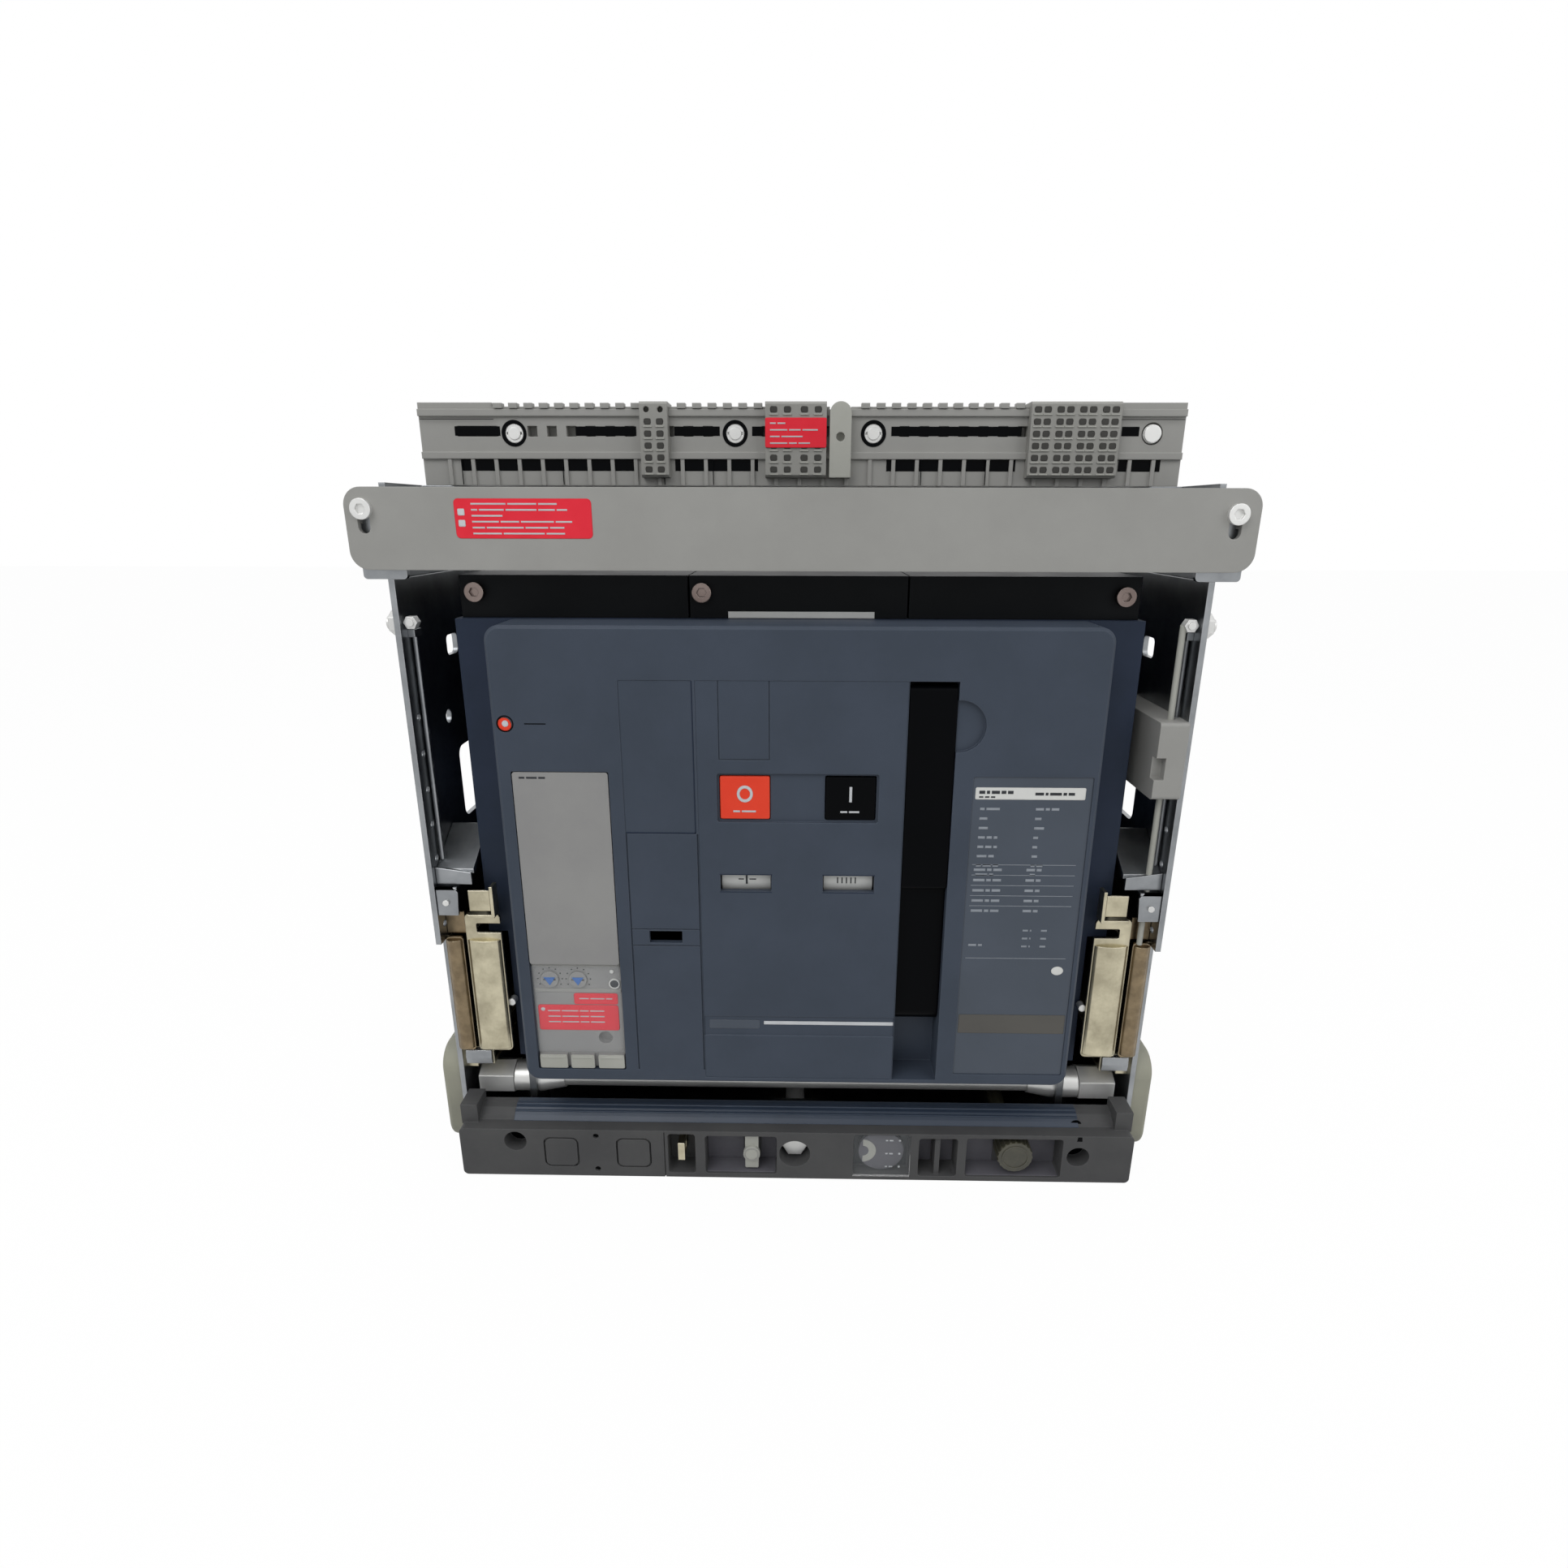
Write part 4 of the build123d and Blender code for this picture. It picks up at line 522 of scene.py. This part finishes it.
@dataclass
class CoverMarks:
    """Printed and pressed detail on the front of the breaker."""

    panel_y: float = -197.3
    strip_y: float = -196.8

    def build(self) -> None:
        """Make the light strip, the flag strokes, the top label, and dark lines of painted shade along the windows and
        the lock plate.
        """
        strip = Relief("light_strip", "breaker", WHITE_INK, "white_plastic")
        strip.bar(-18.0, 55.4, self.strip_y - 0.12, self.strip_y, 106.4, 108.6)
        strip.done()
        blank = Relief("bare_strip", "breaker", LABEL, "label_white")
        blank.sticker(-49.0, -20.5, 103.6, 109.2, self.strip_y, 0.8, 0.12)
        blank.done()
        # Painted shade: thin dark lines along the top and bottom edges of the two windows.
        rim = Relief("window_rim_shade", "breaker", SHADED_RESIN, "navy_plastic")
        for x0, x1 in ((-41.4, -13.2), (13.8, 42.0)):
            rim.bar(x0, x1, self.panel_y - 0.1, self.panel_y, 188.4, 188.9)
            rim.bar(x0, x1, self.panel_y - 0.1, self.panel_y, 198.6, 199.1)
        rim.done()
        top = Relief("top_label", "breaker", WHITE_FILM, "label_white")
        top.bar(-37.0, 40.0, -164.15, -164.0, 331.2, 334.6)
        top.done()
        flag = Relief("contact_flag_mark", "contact_flag", DARK_INK, "black_plastic")
        flag.bar(-27.6, -26.6, -192.62, -192.4, 191.4, 196.6)
        flag.bar(-31.5, -28.6, -192.62, -192.4, 193.9, 194.5)
        flag.bar(-25.6, -22.0, -192.62, -192.4, 193.9, 194.5)
        flag.done()
        spring = Relief("spring_flag_mark", "spring_flag", DARK_INK, "black_plastic")
        for index in range(5):
            spring.bar(22.0 + index * 2.4, 22.6 + index * 2.4, -192.62, -192.4, 192.2, 195.6)
        spring.done()
        # Painted shade: dark lines along the lower and right edges of the lock plate.
        lock = Relief("lock_plate_edge_shade", "breaker", SHADED_RESIN, "navy_plastic")
        lock.bar(-90.6, -53.4, -197.35, -197.2, 222.0, 222.7)
        lock.bar(-53.9, -53.3, -197.35, -197.2, 222.0, 303.8)
        lock.done()


@dataclass
class TripUnitFace:
    """Dial bay, stickers and latch tabs of the protection unit."""

    body_y: float = -194.6

    def build(self) -> None:
        """Make the bay plate, the dial marks, the stickers and the tabs."""
        bay = Relief("dial_bay", "breaker", SHIELD, "grey_plastic")
        bay.bar(-148.2, -98.8, self.body_y - 0.25, self.body_y, 124.6, 127.0)
        bay.bar(-148.2, -98.8, self.body_y - 0.25, self.body_y, 140.6, 143.2)
        bay.done()
        marks = Relief("dial_scale", "breaker", DARK_INK, "black_plastic")
        for x in (-138.8, -122.8):
            for index in range(9):
                angle = math.radians(-30 + index * 30)
                cx = x + 6.9 * math.cos(angle)
                cz = 133.0 + 6.9 * math.sin(angle)
                marks.disc(cx, cz, 0.42, self.body_y - 0.1, self.body_y, 10)
        marks.disc(-102.4, 130.4, 2.6, self.body_y - 0.6, self.body_y, 20)
        marks.done()
        lamp = Relief("test_socket", "breaker", WHITE_FILM, "label_white")
        lamp.hoop(-102.4, 130.4, 3.1, 0.7, self.body_y - 0.8, self.body_y)
        lamp.disc(-103.6, 138.0, 1.2, self.body_y - 0.5, self.body_y, 16)
        lamp.done()
        for name, x in (("left_dial", -138.8), ("right_dial", -122.8)):
            arrow = Relief(f"{name}_arrow", name, DIAL_BLUE, "blue_plastic")
            arrow.prism([(x - 3.4, 134.6), (x, 129.4), (x + 3.4, 134.6)], -195.92, -195.78)
            arrow.done()
        red = Relief("trip_stickers", "breaker", RED_FILM, "orange_plastic")
        red.sticker(-147.0, -101.0, 100.0, 116.4, self.body_y, 1.4, 0.3)
        red.sticker(-126.0, -101.0, 116.9, 124.0, self.body_y, 1.2, 0.3)
        red.done()
        lines = Relief("trip_sticker_print", "breaker", WHITE_INK, "label_white")
        for row in range(3):
            lines.dashes(-141.5, (7.0, 9.5, 5.0, 8.0), 112.6 - row * 3.6, 0.7, self.body_y - 0.3)
        lines.disc(-144.2, 113.6, 1.2, self.body_y - 0.4, self.body_y - 0.3, 16)
        lines.dashes(-123.0, (5.5, 8.0, 3.5), 120.6, 0.7, self.body_y - 0.3)
        lines.done()
        tabs = Relief("latch_tabs", "breaker", PALE, "white_plastic")
        for x0, x1 in ((-147.8, -132.0), (-129.9, -116.3), (-113.9, -98.9)):
            tabs.sticker(x0, x1, 76.0, 84.8, -196.6, 1.0, 0.5)
            tabs.bar(x0 + 1.2, x1 - 1.2, -197.3, -197.0, 82.4, 83.6)
        tabs.done()
        head = Relief("trip_cover_print", "breaker", DARK_INK, "black_plastic")
        head.dashes(-145.0, (3.0, 5.5, 3.4), 252.4, 1.0, -197.3)
        head.done()


@dataclass
class ShieldLabels:
    """Red films on the shield bar and the centre terminals."""

    shield_y: float = -189.5
    block_y: float = -143.0

    def build(self) -> None:
        """Make both films and their rows of bars."""
        red = Relief("shield_label", "chassis", RED_FILM, "orange_plastic")
        red.sticker(-166.8, -100.1, 371.9, 390.5, self.shield_y, 2.2)
        red.done()
        lines = Relief("shield_label_print", "chassis", WHITE_INK, "label_white")
        rows = ((17, 14, 9), (3, 12, 15, 8, 5), (15,), (13, 9, 16, 8), (6, 18, 11, 7), (14, 20, 9))
        for index, row in enumerate(rows):
            lines.dashes(-158.5, row, 388.0 - index * 2.75, 0.8, self.shield_y - 0.15)
        for z in (382.6, 377.4):
            lines.sticker(-165.2, -161.8, z, z + 3.2, self.shield_y - 0.15, 0.6, 0.1)
        lines.done()
        tag = Relief("terminal_tag", "chassis", RED_FILM, "orange_plastic")
        tag.sticker(-17.9, 13.9, 416.6, 431.1, self.block_y - 0.2, 0.8, 0.5)
        tag.done()
        tag_lines = Relief("terminal_tag_print", "chassis", WHITE_INK, "label_white")
        for index, row in enumerate(((3, 4), (9, 6, 8), (5, 11), (9, 4, 6))):
            tag_lines.dashes(-15.4, row, 428.4 - index * 3.2, 0.7, self.block_y - 0.7)
        tag_lines.done()


@dataclass
class WireEntries:
    """Square wire entries of the terminal stacks, drawn as dark squares of painted shade."""

    face_y: float = -143.0
    z0: float = 402.0
    top: float = 439.0
    rows: int = 6
    stacks: tuple[tuple[float, float, int], ...] = ((-83.1, -68.6, 2), (-17.9, 13.9, 4), (119.0, 165.3, 8))

    def build(self) -> None:
        """Make a dark square of painted shade with a pale lip in every cell of every stack."""
        # The dark squares are painted shade standing in for the open holes.
        dark = Relief("wire_entry_shade", "chassis", ENTRY_SHADE, "black_plastic")
        lip = Relief("wire_entry_lips", "chassis", PALE, "grey_plastic")
        for x0, x1, columns in self.stacks:
            step_x = (x1 - x0) / columns
            step_z = (self.top - self.z0 - 2) / self.rows
            for column in range(columns):
                for row in range(self.rows):
                    x = x0 + step_x * (column + 0.5)
                    z = self.z0 + 1 + step_z * (row + 0.5)
                    if z > 434 and columns == 2:
                        continue
                    shift = 0.45 if column % 2 == 0 else -0.45
                    dark.sticker(x + shift - 1.8, x + shift + 1.8, z - 1.5, z + 1.5, self.face_y, 0.8, 0.12)
                    lip.bar(x + shift - 2.2, x + shift + 2.2, self.face_y - 0.5, self.face_y, z - 2.7, z - 2.1)
        dark.done()
        lip.done()


@dataclass
class CarrierRibs:
    """Notched top edge of the terminal carrier, with painted shade in its slots."""

    face_y: float = -138.5
    half: float = 160.0

    def build(self) -> None:
        """Make the row of teeth along the top, and dark bars of painted shade in the channels and beside the ribs."""
        teeth = Relief("carrier_teeth", "chassis", SHIELD, "grey_plastic")
        count = 40
        step = 2 * self.half / count
        for index in range(count):
            x = -self.half + step * index
            if -86 < x < -66 or -22 < x < 28 or 114 < x < 168:
                continue
            teeth.bar(x, x + step * 0.55, self.face_y - 0.6, -134.0, 436.0, 438.6)
        teeth.done()
        # Painted shade: dark bars in the channels and thin dark lines beside the ribs.
        dark = Relief("carrier_channel_shade", "chassis", INK, "black_plastic")
        for x0, x1 in ((-182.0, -158.0), (-118.0, -86.0), (-66.0, -42.0), (-25.0, -19.0), (48.0, 116.0), (168.0, 177.0)):
            dark.bar(x0, x1, -137.15, -137.0, 422.8, 427.4)
        for x0, x1 in ((-180.0, -88.0), (-66.0, -22.0), (46.0, 114.0), (168.0, 190.0)):
            dark.bar(x0, x1, -137.15, -137.0, 405.4, 411.4)
        for x in (-180.0, -126.0, -72.0, -46.0, 64.0, 98.0):
            dark.bar(x, x + 0.5, -138.25, -138.1, 398.4, 411.0)
        dark.done()
        # Painted shade: dark rings in the recesses round the screws and thin dark lines under the top edge.
        rims = Relief("screw_recess_shade", "chassis", INK, "black_plastic")
        domes = Relief("screw_domes", "chassis", BRIGHT, "bright_steel")
        for x in (-150.7, -33.9, 38.7):
            rims.hoop(x, 424.0, 6.6, 1.6, -137.2, -137.0)
            domes.disc(x, 424.0, 3.2, -137.1, -136.4, 24)
        domes.disc(184.0, 424.0, 4.4, -138.0, -136.4, 24)
        for x0, x1 in ((-199.5, -160.5), (161.0, 199.5)):
            rims.bar(x0, x1, -138.6, -138.45, 430.6, 430.9)
        rims.done()
        domes.done()


@dataclass
class SkirtControls:
    """Small parts and prints of the racking controls."""

    face_y: float = -197.5
    floor_y: float = -183.5
    knob_x: float = 131.8
    knob_z: float = 17.0

    def build(self) -> None:
        """Make the knob's ribs, the disc's marks, the recess floors and their prints."""
        ribs = Relief("crank_knob_ribs", "racking_crank", OLIVE_KNOB, "black_plastic")
        for index in range(20):
            angle = 2 * math.pi * index / 20
            cx = self.knob_x + 9.8 * math.cos(angle)
            cz = self.knob_z + 9.8 * math.sin(angle)
            ribs.disc(cx, cz, 0.8, -196.6, -184.4, 10)
        ribs.hoop(self.knob_x, self.knob_z, 8.0, 0.8, -197.3, -197.0)
        ribs.done()
        floors = Relief("recess_floors", "chassis", RECESS, "dark_plastic")
        for x0, x1, z0, z1 in ((-53.4, -31.0, 3.4, 29.6), (-20.6, -11.0, 3.4, 29.6), (87.4, 96.8, 3.4, 29.6),
                               (74.3, 83.6, 3.4, 29.6), (102.6, 121.4, 3.4, 30.1), (142.2, 159.1, 3.4, 30.1)):
            floors.bar(x0, x1, self.floor_y - 0.2, self.floor_y, z0, z1)
        for x0, x1 in ((-53.0, -11.4), (103.0, 158.8)):
            floors.bar(x0, x1, -196.0, self.floor_y, 2.9, 3.3)
        floors.done()
        plate = Relief("window_plate", "chassis", DARK_INK, "black_plastic")
        for x0, x1, z0, z1 in ((36.0, 48.6, 3.2, 31.2), (55.4, 68.2, 3.2, 31.2), (48.6, 55.4, 3.2, 14.2),
                               (48.6, 55.4, 21.0, 31.2)):
            plate.bar(x0, x1, -188.15, -188.0, z0, z1)
        plate.done()
        marks = Relief("position_marks", "chassis", WHITE_INK, "white_plastic")
        for z in (27.0, 17.6, 8.2):
            marks.dashes(54.4, (1.4, 2.2), z, 0.9, -195.8)
            marks.disc(62.8, z, 0.7, -195.9, -195.75, 12)
        marks.done()
        mark = Relief("position_mark", "position_disc", PALE, "white_plastic")
        turns = [math.radians(-90 + 15 * step) for step in range(13)]
        outer = [(41.0 + 8.0 * math.cos(turn), 17.6 + 8.0 * math.sin(turn)) for turn in turns]
        inner = [(41.0 + 3.6 * math.cos(turn), 17.6 + 3.6 * math.sin(turn)) for turn in turns]
        mark.prism(outer + inner[::-1], -193.62, -193.5)
        mark.done()
        sign = Relief("padlock_sign", "chassis", WHITE_INK, "white_plastic")
        sign.hoop(-62.6, 23.0, 1.5, 0.5, -183.7, -183.5)
        sign.bar(-64.4, -60.8, -183.7, -183.5, 19.4, 22.2)
        sign.bar(-72.2, -70.9, -183.7, -183.5, 19.4, 24.0)
        sign.done()
        knob = Relief("release_ring", "release_button", SHIELD, "grey_plastic")
        knob.hoop(-25.8, 16.8, 4.4, 0.7, -197.2, -197.0)
        knob.done()
        ring = Relief("socket_ring", "chassis", BRIGHT, "bright_steel")
        ring.hoop(0.0, 17.8, 9.1, 0.9, -183.4, -182.0)
        ring.done()
        # Painted shade: a dark disc and a dark slot where the keyhole opens.
        slot = Relief("keyhole_shade", "chassis", INK, "black_plastic")
        slot.disc(168.8, 33.5, 3.4, -187.95, -187.8, 20)
        slot.prism([(167.2, 29.4), (170.4, 29.4), (170.0, 32.4), (167.6, 32.4)], -197.6, -197.5)
        slot.done()
        self.dark_rims()

    def dark_rims(self) -> None:
        """Shade the octagonal knock-outs, the two round holes and the dimples."""
        rims = Relief("knockout_rims", "chassis", INK, "black_plastic")
        for x in (-140.2, -96.6):
            for x0, x1, z0, z1 in ((x - 10.1, x + 10.1, 26.9, 27.2), (x - 10.1, x + 10.1, 6.8, 7.1),
                                   (x - 10.2, x - 9.9, 7.0, 27.0), (x + 9.9, x + 10.2, 7.0, 27.0)):
                rims.bar(x0, x1, self.face_y + 1.0, self.face_y + 1.15, z0, z1)
        for x, z in ((-167.5, 24.5), (168.8, 18.2)):
            rims.disc(x, z, 6.4, -187.65, -187.5, 24)
        for z in (5.1, 28.7):
            rims.disc(-118.9, z, 1.7, -196.15, -196.0, 14)
        rims.done()


@dataclass
class GuideSteel:
    """Rolled flanges, folded tabs, pins and rods between the breaker and the chassis plates."""

    face_y: float = -177.5
    low_z: float = 76.0
    high_z: float = 148.0

    def build(self) -> None:
        """Make the rolled fronts, then the bent pieces above and below them."""
        self.rolled_fronts()
        self.folded_tabs()
        self.pins_and_rods()

    def rolled_fronts(self) -> None:
        """Give each flange the soft round front of a rolled edge."""
        # The outer rolls take the darker zinc: painted shade and dark reflection.
        for name, body, finish, x0, x1 in (("inner_roll", "breaker", ZINC, 171.0, 190.2),
                                           ("outer_roll", "chassis", SHADED_ZINC, 193.4, 202.6)):
            roll = Relief(name, body, finish, "zinc_steel")
            for side in (-1, 1):
                ring = []
                for step in range(13):
                    part = step / 12
                    ring.append((side * (x0 + (x1 - x0) * part), self.face_y - 2.6 * math.sin(math.pi * part) ** 0.6))
                roll.run("Z", ring, self.low_z, self.high_z)
            roll.done()

    def folded_tabs(self) -> None:
        """Make the bent plates above the flanges and the lips on the rails below."""
        grey = Relief("folded_tabs", "chassis", SHEET, "sheet_steel")
        # The pressed tabs take the darker zinc: painted shade.
        brown = Relief("pressed_tabs", "chassis", SHADED_ZINC, "zinc_steel")
        hook = Relief("breaker_hooks", "breaker", ZINC, "zinc_steel")
        for side in (-1, 1):
            slope = [(-178.0, 190.0), (-176.0, 190.0), (-150.0, 208.0), (-150.0, 210.0), (-178.0, 192.5)]
            grey.run("X", slope, side * 182.0, side * 202.8)
            grey.prism([(side * 183.0, 184.0), (side * 183.0, 191.0), (side * 202.8, 194.0), (side * 202.8, 184.0)],
                       -180.0, -178.2)
            grey.prism([(side * 191.5, 166.0), (side * 190.5, 180.0), (side * 193.0, 183.0), (side * 202.8, 183.0),
                        (side * 202.8, 166.0)], -183.0, -181.0)
            grey.bar(min(side * 191.0, side * 202.8), max(side * 191.0, side * 202.8), -183.0, -176.0, 181.6, 183.0)
            brown.prism([(side * 192.0, 150.5), (side * 192.0, 164.0), (side * 202.8, 164.0), (side * 202.8, 150.5)],
                        -174.0, -172.5)
            hook.prism([(side * 174.0, 167.5), (side * 174.0, 180.0), (side * 186.0, 180.0), (side * 186.0, 167.5)],
                       -180.0, -178.5)
            hook.prism([(side * 170.5, 165.5), (side * 170.5, 184.0), (side * 172.3, 184.0), (side * 172.3, 165.5)],
                       -184.0, -176.5)
            hook.prism([(side * 171.5, 164.0), (side * 171.5, 165.8), (side * 187.0, 165.8), (side * 187.0, 164.0)],
                       -182.0, -176.5)
        grey.done()
        brown.done()
        hook.done()
        for body, x0, x1 in (("left_rail", -200.0, -184.5), ("right_rail", 184.5, 200.0)):
            lip = Relief(f"{body}_lip", body, SHEET, "sheet_steel")
            lip.run("X", [(-174.1, 62.6), (-176.4, 63.6), (-177.0, 68.0), (-176.4, 72.6), (-174.1, 73.4)], x0, x1)
            lip.done()

    def pins_and_rods(self) -> None:
        """Make the hinge rods on the plates, their nuts and the small rivets."""
        rods = Relief("plate_rods", "chassis", SHEET, "sheet_steel")
        nuts = Relief("plate_nuts", "chassis", BRIGHT, "bright_steel")
        pins = Relief("flange_pins", "breaker", BRIGHT, "bright_steel")
        for side in (-1, 1):
            centre = side * 201.3
            ring = [(centre + 1.4 * math.cos(math.pi * k / 5), -172.0 + 1.4 * math.sin(math.pi * k / 5))
                    for k in range(10)]
            rods.run("Z", ring, 196.0, 322.0)
            rods.bar(min(side * 199.5, side * 203.0), max(side * 199.5, side * 203.0), -176.0, -168.0, 322.0, 326.0)
            nuts.disc(side * 199.0, 330.0, 3.6, -181.0, -176.0, 6)
            nuts.disc(side * 199.0, 330.0, 2.0, -182.2, -181.0, 16)
            nuts.disc(side * 197.5, 174.0, 1.8, -184.2, -183.0, 12)
            pins.disc(side * 168.9, 106.0, 2.2, -176.0, -171.0, 14)
        rods.done()
        nuts.done()
        pins.done()


@dataclass
class ShelfSkin:
    """Blue folded shelf that lies on the skirt."""

    half: float = 170.0

    def build(self) -> None:
        """Lay a thin skin over the steps of the shelf."""
        skin = Relief("shelf_skin", "chassis", SHELF, "dark_plastic")
        steps = [(-189.8, 33.1), (-187.7, 35.3), (-183.7, 38.2), (-179.6, 39.3), (-176.2, 39.3), (-176.2, 38.6),
                 (-179.4, 38.6), (-183.3, 37.5), (-187.3, 34.7), (-189.4, 32.6)]
        skin.run("X", steps, -self.half, self.half)
        for z, y in ((36.9, -185.6), (38.9, -181.4)):
            skin.run("X", [(y - 0.6, z), (y - 0.3, z + 0.5), (y + 0.6, z + 0.5), (y + 0.6, z)], -self.half, self.half)
        skin.done()


@dataclass
class Studio:
    """Floor, lamps, sky and the camera at the photograph's place."""

    lens_px: float = 1060.0
    frame_px: float = 1932.0
    eye: tuple[float, float, float] = (-0.0001, -0.6232, 0.3833)
    tilt_down: float = 17.38
    turn: float = 0.91
    roll: float = 0.13

    def build(self) -> None:
        """Make everything that isn't the object."""
        self.floor()
        self.sky()
        self.lamp("key_lamp", (-0.8, -1.3, 1.7), 1.3, 15.5)
        self.lamp("fill_lamp", (1.3, -1.0, 1.1), 1.4, 8.0)
        self.lamp("top_lamp", (0.0, 0.2, 1.9), 1.5, 8.0)
        self.camera()

    def floor(self) -> None:
        """Lay a plain pale floor that turns white where it is seen directly."""
        data = bpy.data.meshes.new("floor")
        reach = 6.0
        data.from_pydata([(-reach, -reach, 0), (reach, -reach, 0), (reach, reach, 0), (-reach, reach, 0)], [],
                         [(0, 1, 2, 3)])
        plane = bpy.data.objects.new("floor", data)
        bpy.context.scene.collection.objects.link(plane)
        material = bpy.data.materials.new("pale_floor")
        material.use_nodes = True
        tree = material.node_tree
        tree.nodes.clear()
        seen = self.seen_directly(tree)
        chalk = add_node(tree, "ShaderNodeBsdfDiffuse", {"Color": linear("D8D8D6")})
        white = add_node(tree, "ShaderNodeEmission", {"Color": (1.0, 1.0, 1.0, 1.0), "Strength": 1.015})
        share = add_node(tree, "ShaderNodeMath", {"operation": "MULTIPLY"})
        tree.links.new(seen, share.inputs[0])
        share.inputs[1].default_value = 0.96
        mix = add_node(tree, "ShaderNodeMixShader")
        tree.links.new(share.outputs["Value"], mix.inputs[0])
        tree.links.new(chalk.outputs["BSDF"], mix.inputs[1])
        tree.links.new(white.outputs["Emission"], mix.inputs[2])
        add_node(tree, "ShaderNodeOutputMaterial", {}, {"Surface": mix.outputs["Shader"]})
        data.materials.append(material)

    def seen_directly(self, tree: bpy.types.NodeTree) -> bpy.types.NodeSocket:
        """Pick out the rays that see the backdrop: from the camera, off metal and through windows.

        Args:
            tree: The node tree of the floor's material or of the world.

        Returns:
            A socket that is 1 for such a ray and 0 for any other.
        """
        path = add_node(tree, "ShaderNodeLightPath")
        either = add_node(tree, "ShaderNodeMath", {"operation": "MAXIMUM"})
        tree.links.new(path.outputs["Is Camera Ray"], either.inputs[0])
        tree.links.new(path.outputs["Is Glossy Ray"], either.inputs[1])
        any_of = add_node(tree, "ShaderNodeMath", {"operation": "MAXIMUM"})
        tree.links.new(either.outputs["Value"], any_of.inputs[0])
        tree.links.new(path.outputs["Is Transmission Ray"], any_of.inputs[1])
        return any_of.outputs["Value"]

    def sky(self) -> None:
        """Light the scene from a pale world that looks white to the camera."""
        world = bpy.data.worlds.new("studio")
        world.use_nodes = True
        bpy.context.scene.world = world
        tree = world.node_tree
        tree.nodes.clear()
        soft = add_node(tree, "ShaderNodeBackground", {"Color": (0.93, 0.96, 1.0, 1.0), "Strength": 0.36})
        white = add_node(tree, "ShaderNodeBackground", {"Color": (1.0, 1.0, 1.0, 1.0), "Strength": 1.0})
        mix = add_node(tree, "ShaderNodeMixShader")
        tree.links.new(self.seen_directly(tree), mix.inputs[0])
        tree.links.new(soft.outputs["Background"], mix.inputs[1])
        tree.links.new(white.outputs["Background"], mix.inputs[2])
        add_node(tree, "ShaderNodeOutputWorld", {}, {"Surface": mix.outputs["Shader"]})

    def lamp(self, name: str, place: tuple[float, float, float], size: float, power: float) -> None:
        """Hang one soft square lamp aimed at the breaker."""
        data = bpy.data.lights.new(name, "AREA")
        data.size = size
        data.energy = power
        lamp = bpy.data.objects.new(name, data)
        lamp.location = place
        aim = Vector((0.0, 0.0, 0.2)) - Vector(place)
        lamp.rotation_euler = aim.to_track_quat("-Z", "Y").to_euler()
        bpy.context.scene.collection.objects.link(lamp)

    def camera(self) -> None:
        """Stand the camera where the photograph was taken."""
        data = bpy.data.cameras.new("camera")
        data.sensor_width = 36.0
        data.lens = 36.0 * self.lens_px / self.frame_px
        camera = bpy.data.objects.new("camera", data)
        bpy.context.scene.collection.objects.link(camera)
        turn = Matrix.Rotation(math.radians(self.turn), 4, "Z")
        tilt = Matrix.Rotation(math.radians(90.0 - self.tilt_down), 4, "X")
        roll = Matrix.Rotation(math.radians(self.roll), 4, "Z")
        camera.matrix_world = Matrix.Translation(self.eye) @ turn @ tilt @ roll
        bpy.context.scene.camera = camera


def main() -> None:
    """Build the sub-assemblies in order."""
    logging.basicConfig(level=logging.INFO, format="%(name)s %(message)s")
    bpy.context.scene.view_settings.view_transform = "Standard"
    Studio().build()
    for assembly in (Solids(), PushButtons(), RatingLabel(), CoverMarks(), TripUnitFace(), ShieldLabels(),
                     WireEntries(), CarrierRibs(), SkirtControls(), ShelfSkin(), GuideSteel()):
        assembly.build()


if __name__ == "__main__":
    main()
